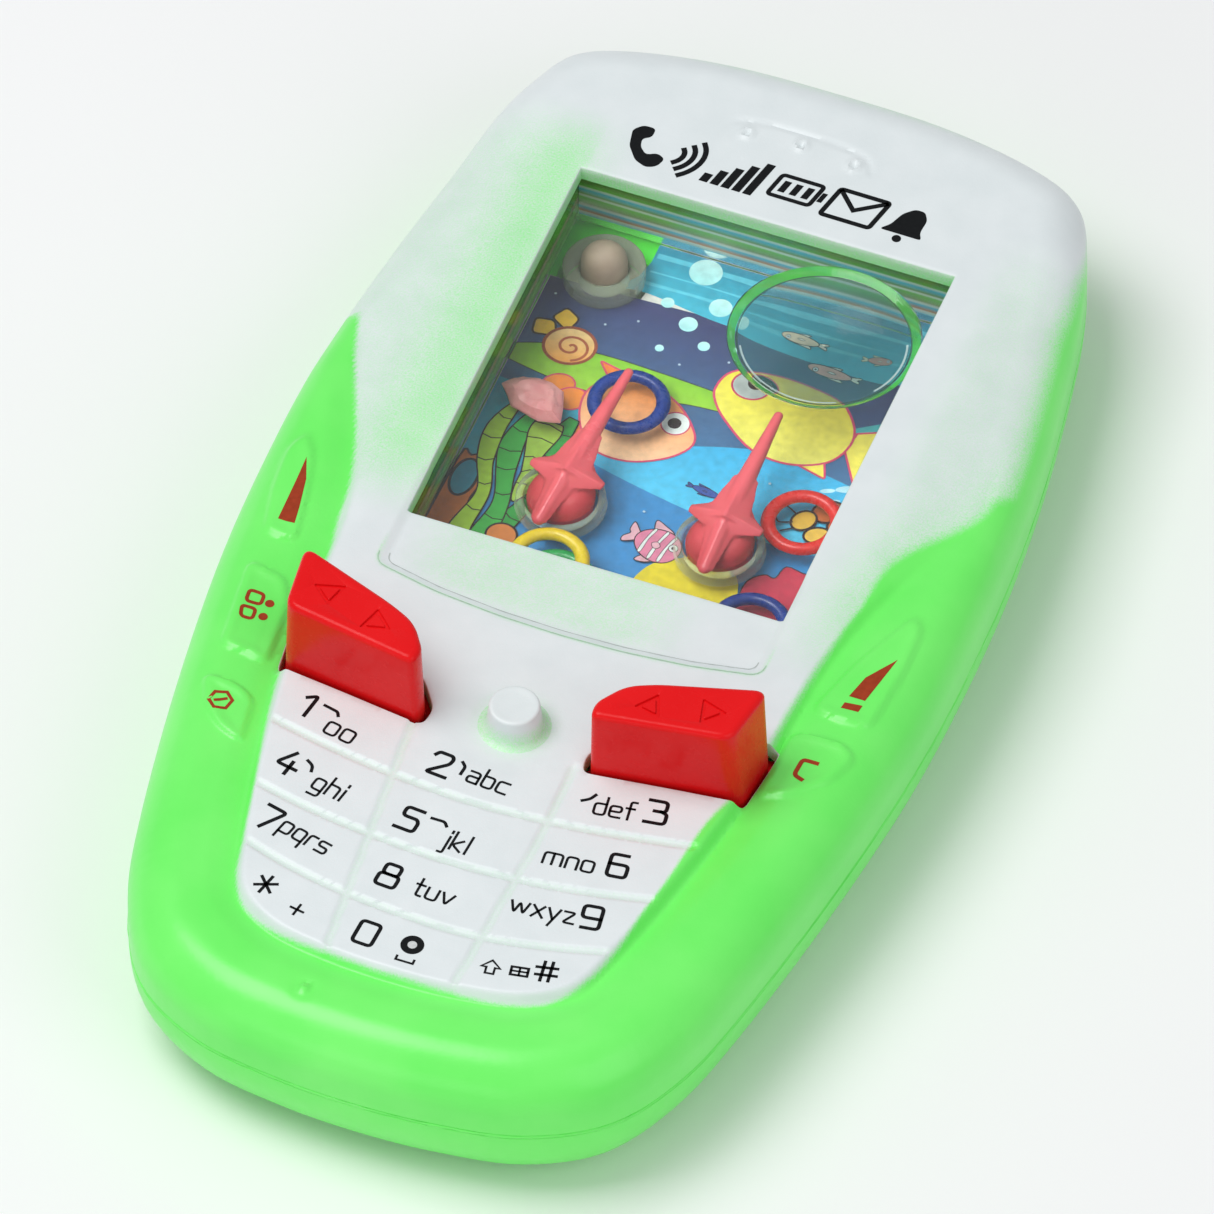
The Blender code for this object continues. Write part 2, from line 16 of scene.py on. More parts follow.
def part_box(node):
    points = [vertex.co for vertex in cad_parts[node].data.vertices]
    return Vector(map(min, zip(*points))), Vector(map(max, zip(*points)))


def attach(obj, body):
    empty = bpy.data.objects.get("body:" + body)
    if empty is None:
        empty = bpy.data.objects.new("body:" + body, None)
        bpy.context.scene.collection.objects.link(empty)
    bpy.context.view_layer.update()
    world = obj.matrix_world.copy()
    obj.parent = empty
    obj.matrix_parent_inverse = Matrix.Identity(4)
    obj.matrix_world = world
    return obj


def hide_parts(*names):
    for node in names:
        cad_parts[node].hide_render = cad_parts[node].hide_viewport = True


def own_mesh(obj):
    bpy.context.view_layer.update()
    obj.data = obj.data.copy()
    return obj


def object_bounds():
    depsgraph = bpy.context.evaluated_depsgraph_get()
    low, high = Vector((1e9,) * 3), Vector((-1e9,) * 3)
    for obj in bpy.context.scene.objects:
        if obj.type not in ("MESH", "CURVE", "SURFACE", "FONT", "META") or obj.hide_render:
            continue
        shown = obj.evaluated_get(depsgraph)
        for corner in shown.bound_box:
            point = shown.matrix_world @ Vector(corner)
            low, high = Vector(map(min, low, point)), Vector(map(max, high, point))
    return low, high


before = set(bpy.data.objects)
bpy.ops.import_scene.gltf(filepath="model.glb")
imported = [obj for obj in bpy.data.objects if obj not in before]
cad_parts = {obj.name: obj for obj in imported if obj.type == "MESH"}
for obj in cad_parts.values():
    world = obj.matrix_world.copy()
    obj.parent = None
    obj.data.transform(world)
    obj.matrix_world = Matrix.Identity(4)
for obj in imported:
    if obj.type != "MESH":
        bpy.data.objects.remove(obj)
cad_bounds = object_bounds()

MM = 0.001
CASE = "case"
SIDES = {"left": -1, "right": 1}

# ---------------------------------------------------------------- driving sizes

# Right half of the case's outline at the seam, and of the edge of the raised face.
OUTLINE = (
    (0, 60), (10, 59.7), (18.6, 58.2), (24.0, 55.8), (26.5, 51.4), (28.8, 43.8), (31.2, 30),
    (32.5, 17.5), (32.9, 5), (32.5, -8), (30.8, -23), (28.3, -38), (26.0, -47), (22.0, -54),
    (15.3, -58.1), (7.5, -59.6), (0, -60),
)
FACE_EDGE = (
    (0, 55.6), (9, 55.1), (16.2, 53.6), (19.9, 51.8), (21.6, 48.8), (24, 42), (27.4, 29),
    (29.4, 17.5), (25.4, 7), (22.8, -3.5), (21.6, -20), (19.5, -32.5), (17.4, -41.5),
    (15.6, -46.4), (11.6, -49.2), (6, -50.3), (0, -50.6),
)
BUTTON_TOPS = {
    "right": ((8.3, -23.7), (20.7, -21.8), (21.8, -15.2), (12.4, -18.0), (9.9, -19.2), (8.1, -21.9)),
    "left": ((8.4, -23.6), (21.2, -21.4), (22.0, -14.3), (12.5, -17.8), (9.9, -19.1), (8.1, -21.8)),
}
BUTTON_FOOT = ((8.0, -23.1), (21.5, -21.3), (22.2, -15.2), (12.4, -18.1), (9.6, -19.0), (7.8, -21.7))
SLOT = ((7.4, -23.65), (21.95, -21.8), (22.8, -14.3), (12.2, -17.4), (9.2, -18.5), (7.1, -21.5))
NUB_AT = (0.0, -20.5)
SEAM_Z = 8.8
SEAM_GAP = 0.05
FACE_Z = 16.5
WINDOW_X = 17.8
WINDOW_Y = (-1.0, 41.6)
TANK_X = 18.4
TANK_Y = (-9.0, 42.3)
TANK_Z = (6.1, 13.6)

# The longest bend takes up this share of the edges beside it.
LONGEST_BEND = 0.45
FAR = 1e9


def mm_box(node):
    """A CAD node's lowest and highest corners, in millimetres."""
    low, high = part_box(node)
    return low / MM, high / MM


# ---------------------------------------------------------------- outlines and fields


def whole(half):
    """A closed outline from its right half."""
    left = [(-x, y) for x, y in reversed(half[1:-1])]
    return list(half) + left


def flipped(points):
    """An outline mirrored in the case's middle line."""
    return [(-x, y) for x, y in reversed(points)]


def smooth(points, per_span, closed=True):
    """Points along a curve that passes through the given ones."""
    count = len(points)
    made = []
    for i in range(count if closed else count - 1):
        if closed:
            picked = [(i + k) % count for k in (-1, 0, 1, 2)]
        else:
            picked = [min(max(i + k, 0), count - 1) for k in (-1, 0, 1, 2)]
        a, b, c, d = (np.array(points[p], float) for p in picked)
        for step in range(per_span):
            t = step / per_span
            cubic = (3 * b - a - 3 * c + d) * t**3
            made.append(0.5 * (2 * b + (c - a) * t + (2 * a - 5 * b + 4 * c - d) * t**2 + cubic))
    if not closed:
        made.append(np.array(points[-1], float))
    return np.array(made)


def bend(before, corner, after, reach, steps):
    """Points on a curve that rounds a corner, from up to that far before it to as far after it."""
    corner = Vector(corner)
    back, ahead = Vector(before) - corner, Vector(after) - corner
    reach = min(reach, back.length * LONGEST_BEND, ahead.length * LONGEST_BEND)
    start = corner + back.normalized() * reach
    end = corner + ahead.normalized() * reach
    shares = [step / steps for step in range(steps + 1)]
    return [tuple(start * (1 - t) ** 2 + corner * 2 * t * (1 - t) + end * t * t) for t in shares]


def rounded(points, reach, steps=5):
    """A closed outline with rounded corners."""
    made = []
    for i, corner in enumerate(points):
        made += bend(points[i - 1], corner, points[(i + 1) % len(points)], reach, steps)
    return made


def soften(line, reach):
    """An open line with rounded bends."""
    made = [tuple(line[0])]
    for before, corner, after in zip(line, line[1:], line[2:]):
        made += bend(before, corner, after, reach, 4)
    return made + [tuple(line[-1])]


def turned(points, centre, turn):
    """Points turned about the origin, by some degrees, and then moved to a centre."""
    c, s = math.cos(math.radians(turn)), math.sin(math.radians(turn))
    return [(centre[0] + x * c - y * s, centre[1] + x * s + y * c) for x, y in points]


def oval(centre, radius, squash=1.0, turn=0.0, steps=28):
    """An oval outline: squash is its height over its width, and turn is in degrees."""
    angles = [math.tau * i / steps for i in range(steps)]
    points = [(radius * math.cos(a), radius * squash * math.sin(a)) for a in angles]
    return turned(points, centre, turn)


def pulled_in(corners, middle, by):
    """The outline's corners, each moved so that its edges lie that much nearer the middle."""
    moved = []
    for i, corner in enumerate(corners):
        normals = []
        for start, end in ((corners[i - 1], corner), (corner, corners[(i + 1) % len(corners)])):
            along = (end - start).normalized()
            normal = Vector((-along.y, along.x))
            normals.append(normal if normal.dot(middle - start) > 0 else -normal)
        moved.append(corner + (normals[0] + normals[1]) * by / (1 + normals[0].dot(normals[1])))
    return moved


def segments(x, y, line, closed):
    """For each segment of a line: its start, its run, and how far along it each point is nearest."""
    count = len(line)
    for i in range(count if closed else count - 1):
        ax, ay = line[i]
        bx, by = line[(i + 1) % count]
        dx, dy = bx - ax, by - ay
        t = np.clip(((x - ax) * dx + (y - ay) * dy) / (dx * dx + dy * dy + 1e-12), 0, 1)
        yield ax, ay, dx, dy, t


def to_line(x, y, line, closed=False):
    """Distance from each point to a line of points."""
    best = np.full(np.shape(x), FAR)
    for ax, ay, dx, dy, t in segments(x, y, line, closed):
        best = np.minimum(best, np.hypot(x - ax - t * dx, y - ay - t * dy))
    return best


def nearest(x, y, line):
    """The point of a closed line that is nearest to each given point."""
    best = np.full(np.shape(x), FAR)
    px, py = np.array(x, float), np.array(y, float)
    for ax, ay, dx, dy, t in segments(x, y, line, closed=True):
        qx, qy = ax + t * dx, ay + t * dy
        reach = np.hypot(x - qx, y - qy)
        closer = reach < best
        best = np.where(closer, reach, best)
        px, py = np.where(closer, qx, px), np.where(closer, qy, py)
    return px, py


def inside(x, y, outline):
    """Distance to a closed outline: above 0 inside it and below 0 outside."""
    crossed = np.zeros(np.shape(x), bool)
    count = len(outline)
    for i in range(count):
        ax, ay = outline[i]
        bx, by = outline[(i + 1) % count]
        if ay != by:
            passes = (ay > y) != (by > y)
            crossed ^= passes & (x < ax + (y - ay) * (bx - ax) / (by - ay))
    return np.where(crossed, 1, -1) * to_line(x, y, outline, closed=True)


def ease(value):
    """Rises smoothly from 0 to 1 as the value does."""
    value = np.clip(value, 0, 1)
    return value * value * (3 - 2 * value)


def seam_line(per_span):
    """The outline at the seam, no wider or longer than the points it runs through."""
    reach = np.max(OUTLINE, 0)
    return np.clip(smooth(whole(OUTLINE), per_span), -reach, reach)


SEAM_LINE = seam_line(6)
FACE_LINE = smooth(whole(FACE_EDGE), 6)

# ---------------------------------------------------------------- relief of the face

SKIRT_Z = SEAM_Z + SEAM_GAP + 0.2
EDGE_RADIUS = 4.5
WING_DIP = 1.15
WING_CREST = 0.55
PAD_HALF = 21.6
SLOPE_DROP = 1.5
PANEL_DEPTH = 0.42
PANEL_SLOPE = 0.85
GROOVE_DEPTH = 0.2
GROOVE_FLAT = 0.24
GROOVE_SLOPE = 0.22
PAD_RISE = 0.36
EARPIECE_DEPTH = 0.16
NUB_DISH = 0.35
GATE_DISH = 0.22
GATE_RISE = 0.6

DISPLAY_PANEL = (
    (-18.2, 5), (18.2, 5), (18.2, -7.7), (12, -8.9), (6, -9.5), (0, -9.7), (-6, -9.5), (-12, -8.9),
    (-18.2, -7.6),
)
DISPLAY_LINE = rounded(DISPLAY_PANEL, 1.2)
KEY_ROWS = (
    ((-21.5, -27.2), (-15, -28.6), (-8.5, -29.6), (0, -30.2), (8.5, -29.7), (15, -28.8), (21.5, -27.6)),
    ((-20.5, -34.3), (-14, -35.8), (-7.5, -36.7), (0, -37.2), (7.2, -36.9), (13.5, -36.0), (20.5, -34.4)),
    ((-19, -40.6), (-13, -42.5), (-7, -43.7), (0, -44.3), (6, -44.2), (12.5, -43.0), (19, -41.2)),
)
KEY_COLUMNS = (
    ((-8.4, -23.4), (-7.9, -29.4), (-7.3, -36.6), (-6.7, -43.7), (-6.0, -51.0)),
    ((6.6, -23.4), (6.8, -29.7), (6.5, -36.8), (6.1, -44.2), (5.7, -51.0)),
)
EARPIECE_ARC = ((-7.8, 49.8), (-6.7, 51.6), (-3.5, 52.2), (0, 52.2), (3.4, 52.0), (5.6, 51.4), (6.5, 50.1))
EARPIECE_DOTS = ((-5.4, 50.5), (-0.4, 50.9), (4.8, 50.3))
WING_PADS = (
    ((-29.2, 4.4), (-30.4, 2.6), (-30.0, -2), (-28.8, -7.3), (-25.6, -7.7), (-26.6, -2), (-27.7, 2.2)),
    ((-28.7, -11.0), (-24.8, -11.9), (-23.5, -14.5), (-22.9, -21.4), (-27.6, -20.8)),
    ((-27.7, -24.4), (-24.6, -24.6), (-22.4, -25.6), (-21.7, -30.7), (-24.2, -29.8), (-26.4, -27.6)),
    ((28.2, 3.8), (29.4, 2.8), (29.6, -2), (29.0, -9.4), (26, -9.7), (23.5, -9.0), (25.3, -3)),
    ((22.8, -12.1), (27.4, -11.9), (29.1, -12.9), (28.0, -16.4), (25.3, -19.2), (22.5, -20.2)),
)
GATE_AT = (-6.4, -54.6)
PAINT_LEFT = (
    (-30.4, 19.8), (-28.8, 14.7), (-26.6, 9.4), (-24.9, 4.8), (-23.7, 0.4), (-23.2, -3.6), (-22.5, -7.7),
    (-22.4, -15), (-21.6, -21.8), (-20.6, -27.5), (-18.9, -34.6), (-17.5, -41.1), (-16.6, -44.9),
    (-14.6, -47.9), (-11, -49.6), (-6, -50.3),
)
PAINT_RIGHT = (
    (0, -50.6), (6.1, -50.5), (10.6, -49.9), (14, -48.4), (16.2, -45.5), (17.5, -41.1), (18.3, -35.9),
    (18.9, -32.4), (19.8, -25), (21.6, -19), (22.0, -10.4), (22.6, -4.3), (23.9, 3.6), (26.5, 9.7),
    (30.7, 15.9), (31.6, 19),
)
PAINT_LINE = np.vstack(
    [smooth(PAINT_LEFT + PAINT_RIGHT, 4, closed=False), [(40, 26), (40, 70), (-40, 70), (-40, 24)]]
)


def key_grooves(x, y):
    """Distances to each of the grooves between the keys."""
    return [to_line(x, y, smooth(line, 5, closed=False)) for line in KEY_ROWS + KEY_COLUMNS]


def edge_drop(depth):
    """How far the rounded edge has turned down, at a depth inside the outline."""
    t = np.clip(depth / EDGE_RADIUS, 0, 1)
    return EDGE_RADIUS * (1 - np.sqrt(1 - (1 - t) ** 2))


def top_height(x, y):
    """Height of the moulded face, before its edge turns down."""
    face = inside(x, y, FACE_LINE)
    pad_half = PAD_HALF - 0.002 * (y - 18) ** 2
    beside = ease((y + 15) / 9) * (1 - ease((y - 38) / 12))
    plateau = FACE_Z - SLOPE_DROP * beside * ease((np.abs(x) - pad_half) / 7.5)
    out = -face
    wing = FACE_Z - WING_DIP + WING_CREST * ease(out / 3.2) * (1 - 0.9 * ease((out - 4.5) / 6))
    low = 1 - ease((y - 13) / 16)
    wing = wing * low + plateau * (1 - low)
    z = wing + (plateau - wing) * ease((face + 0.55) / 1.1)
    z = z - PANEL_DEPTH * np.clip(inside(x, y, DISPLAY_LINE) / PANEL_SLOPE, 0, 1)
    keypad = ease((face - 0.2) / 0.5)
    cut = np.max([1 - ease((d - GROOVE_FLAT) / GROOVE_SLOPE) for d in key_grooves(x, y)], axis=0)
    z = z - GROOVE_DEPTH * cut * keypad
    arc = to_line(x, y, smooth(EARPIECE_ARC, 5, closed=False))
    z = z - EARPIECE_DEPTH * (1 - ease(arc / 0.4)) * ease((x + 7.9) / 1.5)
    for dot in EARPIECE_DOTS:
        reach = np.hypot(x - dot[0], y - dot[1])
        z = z + 0.22 * (1 - ease(np.abs(reach - 0.55) / 0.32)) - 0.2 * (1 - ease(reach / 0.5))
    for pad in WING_PADS:
        d = inside(x, y, rounded(pad, 1.0))
        z = z + PAD_RISE * ease((d + 0.2) / 0.4) - 0.14 * ease((d - 0.4) / 0.9)
    dish = np.hypot(x - NUB_AT[0], (y - NUB_AT[1]) * 1.1)
    z = z - NUB_DISH * (1 - ease((dish - 2.5) / 5.0))
    gate = np.hypot(x - GATE_AT[0], y - GATE_AT[1])
    z = z - GATE_DISH * (1 - ease(gate / 1.7)) + GATE_RISE * (1 - ease(gate / 0.75))
    return z


def face_height(x, y):
    """Height of the face with its rounded edge."""
    return top_height(x, y) - edge_drop(inside(x, y, SEAM_LINE))


def on_face(x, y, lift=0.02):
    """Heights at which print lies on the face."""
    return face_height(np.asarray(x, float), np.asarray(y, float)) + lift


# ---------------------------------------------------------------- meshes


def piece(name, verts, faces, material, body=CASE, sharp=None):
    """A mesh object from points in millimetres, riding on a body."""
    mesh = bpy.data.meshes.new(name)
    mesh.from_pydata((np.asarray(verts, float) * MM).tolist(), [], [list(map(int, f)) for f in faces])
    mesh.materials.append(material)
    mesh.update()
    obj = bpy.data.objects.new(name, mesh)
    bpy.context.scene.collection.objects.link(obj)
    finish_surface(obj, sharp)
    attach(obj, body)
    return obj


def finish_surface(obj, sharp=None):
    """Smooth shading that keeps edges sharper than that many degrees, or flat shading."""
    if sharp is not None:
        obj.data.shade_smooth()
        obj.data.set_sharp_from_angle(angle=math.radians(sharp))


def point_values(obj, name, values):
    """Stores a number at each point, for a material to read."""
    attribute = obj.data.attributes.new(name, "FLOAT", "POINT")
    attribute.data.foreach_set("value", np.asarray(values, np.float32))


def apply_modifiers(obj):
    """Turns an object's modifiers into mesh."""
    graph = bpy.context.evaluated_depsgraph_get()
    mesh = bpy.data.meshes.new_from_object(obj.evaluated_get(graph))
    old = obj.data
    obj.modifiers.clear()
    obj.data = mesh
    bpy.data.meshes.remove(old)


def grid_lines(stops):
    """Grid lines through the stops: a list of (place, spacing after it)."""
    lines = []
    for (start, step), (end, _) in zip(stops, stops[1:]):
        count = max(1, round((end - start) / step))
        lines += [start + (end - start) * i / count for i in range(count)]
    return np.array(lines + [stops[-1][0]])


def lathe(name, profile, at, material, body=CASE, steps=64, sharp=40):
    """A turned piece: a profile of (radius, height) points, spun about an upright line."""
    bm = bmesh.new()
    points = [bm.verts.new((r, 0, z)) for r, z in profile]
    edges = [bm.edges.new(pair) for pair in zip(points, points[1:])]
    bmesh.ops.spin(bm, geom=points + edges, angle=math.tau, steps=steps, axis=(0, 0, 1), use_merge=True)
    bmesh.ops.remove_doubles(bm, verts=bm.verts, dist=1e-5)
    bmesh.ops.recalc_face_normals(bm, faces=bm.faces)
    bmesh.ops.translate(bm, verts=bm.verts, vec=(at[0], at[1], 0))
    return from_bmesh(name, bm, material, body, sharp)


def skin(bm, upper, lower):
    """Faces between two loops of as many vertices."""
    for i in range(len(upper)):
        j = (i + 1) % len(upper)
        bm.faces.new((upper[i], upper[j], lower[j], lower[i]))


def tube_faces(around, across):
    """Faces of a closed tube whose points run round one cross-section after another."""
    faces = []
    for i in range(around):
        for k in range(across):
            j, m = (i + 1) % around, (k + 1) % across
            faces.append((i * across + k, j * across + k, j * across + m, i * across + m))
    return faces


def fill_between(bm, loops):
    """Faces over the first loop of vertices, with holes where the others are."""
    verts = [v for loop in loops for v in loop]
    flat = [Vector((v.co.x, v.co.y)) for v in verts]
    edges, start = [], 0
    for loop in loops:
        edges += [(start + i, start + (i + 1) % len(loop)) for i in range(len(loop))]
        start += len(loop)
    holes = [[(v.co.x, v.co.y) for v in loop] for loop in loops[1:]]
    points, _, triangles, came_from, _, _ = delaunay_2d_cdt(flat, edges, [], 1, 1e-7)
    corners = [
        verts[sources[0]] if sources else bm.verts.new((*point, verts[0].co.z))
        for point, sources in zip(points, came_from)
    ]
    for triangle in triangles:
        middle = sum((points[i] for i in triangle), Vector((0, 0))) / len(triangle)
        if all(float(inside(middle.x, middle.y, hole)) < 0 for hole in holes):
            bm.faces.new([corners[i] for i in triangle])


def from_bmesh(name, bm, material, body=CASE, sharp=None):
    """Like piece, from a bmesh in millimetres."""
    mesh = bpy.data.meshes.new(name)
    bmesh.ops.scale(bm, vec=(MM, MM, MM), verts=bm.verts)
    bm.to_mesh(mesh)
    bm.free()
    mesh.materials.append(material)
    obj = bpy.data.objects.new(name, mesh)
    bpy.context.scene.collection.objects.link(obj)
    finish_surface(obj, sharp)
    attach(obj, body)
    return obj


def arc_profile(centre, radius, start, end, steps):
    """Points on an arc in a profile, from one angle to another in degrees."""
    angles = [math.radians(start + (end - start) * i / steps) for i in range(steps + 1)]
    return [(centre[0] + radius * math.cos(a), centre[1] + radius * math.sin(a)) for a in angles]


def ribbon(line, width, closed=False):
    """Points and faces of a flat stroke along a line, with square ends and mitred bends."""
    line = [Vector(p) for p in line]
    count = len(line)
    left, right = [], []
    for i, point in enumerate(line):
        before = line[i - 1] if i or closed else None
        after = line[(i + 1) % count] if i < count - 1 or closed else None
        ways = []
        if before is not None:
            ways.append((point - before).normalized())
        if after is not None:
            ways.append((after - point).normalized())
        way = (ways[0] + ways[-1]).normalized() if (ways[0] + ways[-1]).length > 1e-6 else ways[0]
        spread = min(1 / max(way.dot(ways[0]), 0.4), 1.8)
        across = Vector((-way.y, way.x)) * width / 2 * spread
        cap = Vector((0, 0))
        if before is None:
            cap = -way * width / 2
        if after is None:
            cap = way * width / 2
        left.append(point + across + cap)
        right.append(point - across + cap)
    verts = left + right
    last = count if closed else count - 1
    faces = [(i, count + i, count + (i + 1) % count, (i + 1) % count) for i in range(last)]
    return verts, faces


class Sheet:
    """Flat shapes gathered into one mesh, each with its colour and its level above the surface."""

    def __init__(self):
        self.verts, self.faces, self.colours = [], [], []

    def add(self, verts, faces, colour, level=0.0):
        start = len(self.verts)
        self.verts += [(v[0], v[1], level) for v in verts]
        self.faces += [[start + i for i in f] for f in faces]
        self.colours += [colour] * len(verts)

    def fill(self, outline, colour, level=0.0):
        self.add(outline, [list(range(len(outline)))], colour, level)

    def stroke(self, line, width, colour, level=0.0, closed=False):
        self.add(*ribbon(line, width, closed), colour, level)

    def disc(self, centre, radius, colour, level=0.0):
        self.fill(oval(centre, radius), colour, level)

    def mesh(self, name, material, height, longest=None):
        """height turns arrays of x and y into the heights of the surface below."""
        bm = bmesh.new()
        ink = bm.verts.layers.float_color.new("ink")
        verts = [bm.verts.new(v) for v in self.verts]
        for vert, colour in zip(verts, self.colours):
            vert[ink] = (*colour, 1)
        for face in self.faces:
            made = bm.faces.new([verts[i] for i in face])
            made.normal_update()
            if made.normal.z < 0:
                made.normal_flip()
        bmesh.ops.triangulate(bm, faces=[f for f in bm.faces if len(f.verts) > 4])
        for _ in range(5):
            long_edges = [e for e in bm.edges if longest and e.calc_length() > longest]
            if long_edges:
                bmesh.ops.subdivide_edges(bm, edges=long_edges, cuts=1)
                bmesh.ops.triangulate(bm, faces=[f for f in bm.faces if len(f.verts) > 4])
        xs = np.array([v.co.x for v in bm.verts])
        ys = np.array([v.co.y for v in bm.verts])
        for vert, z in zip(bm.verts, height(xs, ys)):
            vert.co.z += z
        return from_bmesh(name, bm, material)


# ---------------------------------------------------------------- materials

# Noise seldom leaves this part of the range from 0 to 1.
NOISE_SPAN = (0.3, 0.7)


def new_material(name):
    made = bpy.data.materials.new(name)
    made.use_nodes = True
    made.node_tree.nodes.clear()
    return made, made.node_tree


def node(tree, kind, inputs=None, **settings):
    """A node with its settings, its inputs' values, and links from the sockets among them."""
    made = tree.nodes.new(kind)
    for key, value in settings.items():
        setattr(made, key, value)
    for key, value in (inputs or {}).items():
        if isinstance(value, bpy.types.NodeSocket):
            tree.links.new(value, made.inputs[key])
        else:
            made.inputs[key].default_value = value
    return made


def ends_at(made, tree, shader):
    """Makes a shader node the surface of a material."""
    node(tree, "ShaderNodeOutputMaterial", {"Surface": shader.outputs[0]})
    return made


def principled(made, tree, inputs):
    """A material whose surface is one principled shader with those inputs."""
    return ends_at(made, tree, node(tree, "ShaderNodeBsdfPrincipled", inputs))


def maths(tree, operation, a, b=0.0, clamp=False):
    return node(tree, "ShaderNodeMath", {0: a, 1: b}, operation=operation, use_clamp=clamp).outputs[0]


def grain(tree, size, detail=2.0, roughness=0.5):
    """Noise from 0 to 1 whose lumps are about that many millimetres across."""
    where = node(tree, "ShaderNodeTexCoord").outputs["Object"]
    made = node(
        tree, "ShaderNodeTexNoise",
        {"Vector": where, "Scale": 1 / (size * MM), "Detail": detail, "Roughness": roughness},
    )
    return made.outputs["Fac"]


def tint(tree, factor, low, high):
    """A colour between two colours or colour sockets."""
    if not isinstance(low, bpy.types.NodeSocket):
        low, high = (*low, 1), (*high, 1)
    made = node(tree, "ShaderNodeMix", {0: factor, 6: low, 7: high}, data_type="RGBA")
    return made.outputs[2]


def spread(tree, value, low, high, start=0.0, end=1.0):
    """Maps a value's range from low to high onto the one from start to end."""
    made = node(
        tree, "ShaderNodeMapRange",
        {"Value": value, "From Min": low, "From Max": high, "To Min": start, "To Max": end},
    )
    return made.outputs["Result"]


def centred(tree, value, strength):
    """Noise moved to lie about 0 and scaled."""
    return maths(tree, "MULTIPLY", maths(tree, "SUBTRACT", value, 0.5), strength)


def height_in(tree, low, high):
    """How high a point lies between two heights in millimetres, from 0 to 1."""
    place = node(tree, "ShaderNodeSeparateXYZ", {0: node(tree, "ShaderNodeTexCoord").outputs["Object"]})
    return spread(tree, place.outputs["Z"], low * MM, high * MM)


def bumped(tree, height, distance):
    """A surface that seems to rise by up to that many millimetres."""
    inputs = {"Height": height, "Distance": distance * MM, "Strength": 1.0}
    return node(tree, "ShaderNodeBump", inputs).outputs["Normal"]


def plastic(name, low, high, roughness=(0.26, 0.36), lump=9.0, bump=0.01, **sockets):
    """Moulded plastic: colour and gloss that drift slowly, and a faintly uneven skin."""
    made, tree = new_material(name)
    drift = grain(tree, lump, 3.0)
    fine = grain(tree, 0.9, 3.0)
    inputs = {
        "Base Color": tint(tree, spread(tree, drift, *NOISE_SPAN), low, high),
        "Roughness": spread(tree, fine, *NOISE_SPAN, *roughness),
        "Normal": bumped(tree, fine, bump),
        **sockets,
    }
    return principled(made, tree, inputs)


def foot_shaded_plastic(name, low, high, heights):
    """Plastic with painted shade: its colour is darker towards its foot, standing in for the shadow and
    translucency that darken the real peg there.
    """
    made, tree = new_material(name)
    rise = height_in(tree, *heights)
    cloud = grain(tree, 2.5, 3.0)
    share = maths(tree, "ADD", rise, centred(tree, cloud, 0.5), clamp=True)
    inputs = {
        "Base Color": tint(tree, share, low, high),
        "Roughness": spread(tree, cloud, *NOISE_SPAN, 0.16, 0.28),
        "Normal": bumped(tree, cloud, 0.02),
    }
    return principled(made, tree, inputs)


def painted_plastic(name, green, paint):
    """Green plastic sprayed with white: the mesh says how much paint lies at each point."""
    made, tree = new_material(name)
    cover = node(tree, "ShaderNodeAttribute", attribute_name="cover").outputs["Fac"]
    droplets = grain(tree, 0.17, 2.0, 0.6)
    cloud = grain(tree, 3.4, 2.0)
    half = maths(tree, "MULTIPLY", cover, maths(tree, "SUBTRACT", 1.0, cover))
    speck = maths(tree, "MULTIPLY", maths(tree, "SUBTRACT", droplets, 0.5), half)
    patch = maths(tree, "MULTIPLY", maths(tree, "SUBTRACT", cloud, 0.5), half)
    amount = maths(tree, "ADD", cover, maths(tree, "MULTIPLY", speck, 5.0))
    amount = maths(tree, "ADD", amount, maths(tree, "MULTIPLY", patch, 0.5), clamp=True)
    drift = grain(tree, 9.0, 3.0)
    fine = grain(tree, 0.5, 3.0)
    base = tint(tree, spread(tree, drift, *NOISE_SPAN), *green)
    coat = tint(tree, spread(tree, cloud, *NOISE_SPAN), *paint)
    height = maths(tree, "ADD", fine, maths(tree, "MULTIPLY", amount, droplets))
    inputs = {
        "Base Color": tint(tree, amount, base, coat),
        "Roughness": spread(tree, amount, 0.0, 1.0, 0.30, 0.40),
        "Normal": bumped(tree, height, 0.012),
    }
    return principled(made, tree, inputs)


def printed(name, roughness, size=0.3):
    """Ink whose colour the mesh gives at each point, a little uneven."""
    made, tree = new_material(name)
    ink = node(tree, "ShaderNodeAttribute", attribute_name="ink").outputs["Color"]
    uneven = grain(tree, size, 3.0)
    value = spread(tree, uneven, 0.25, 0.75, 0.86, 1.12)
    wash = node(tree, "ShaderNodeHueSaturation", {"Color": ink, "Value": value})
    inputs = {
        "Base Color": wash.outputs[0],
        "Roughness": spread(tree, uneven, *NOISE_SPAN, roughness - 0.06, roughness + 0.06),
        "Specular IOR Level": 0.2,
        "Normal": bumped(tree, uneven, 0.006),
    }
    return principled(made, tree, inputs)


def see_through(name, colour, ior, bump=0.0, bump_size=5.0):
    """Clear plastic or water that bends the view and lets light through to what lies in it."""
    made, tree = new_material(name)
    glass = node(
        tree, "ShaderNodeBsdfPrincipled",
        {"Base Color": (*colour, 1), "IOR": ior, "Roughness": 0.0, "Transmission Weight": 1.0},
    )
    if bump:
        tree.links.new(bumped(tree, grain(tree, bump_size, 2.0), bump), glass.inputs["Normal"])
    clear = node(tree, "ShaderNodeBsdfTransparent", {"Color": (*colour, 1)})
    path = node(tree, "ShaderNodeLightPath").outputs["Is Shadow Ray"]
    mix = node(tree, "ShaderNodeMixShader", {0: path, 1: glass.outputs[0], 2: clear.outputs[0]})
    return ends_at(made, tree, mix)


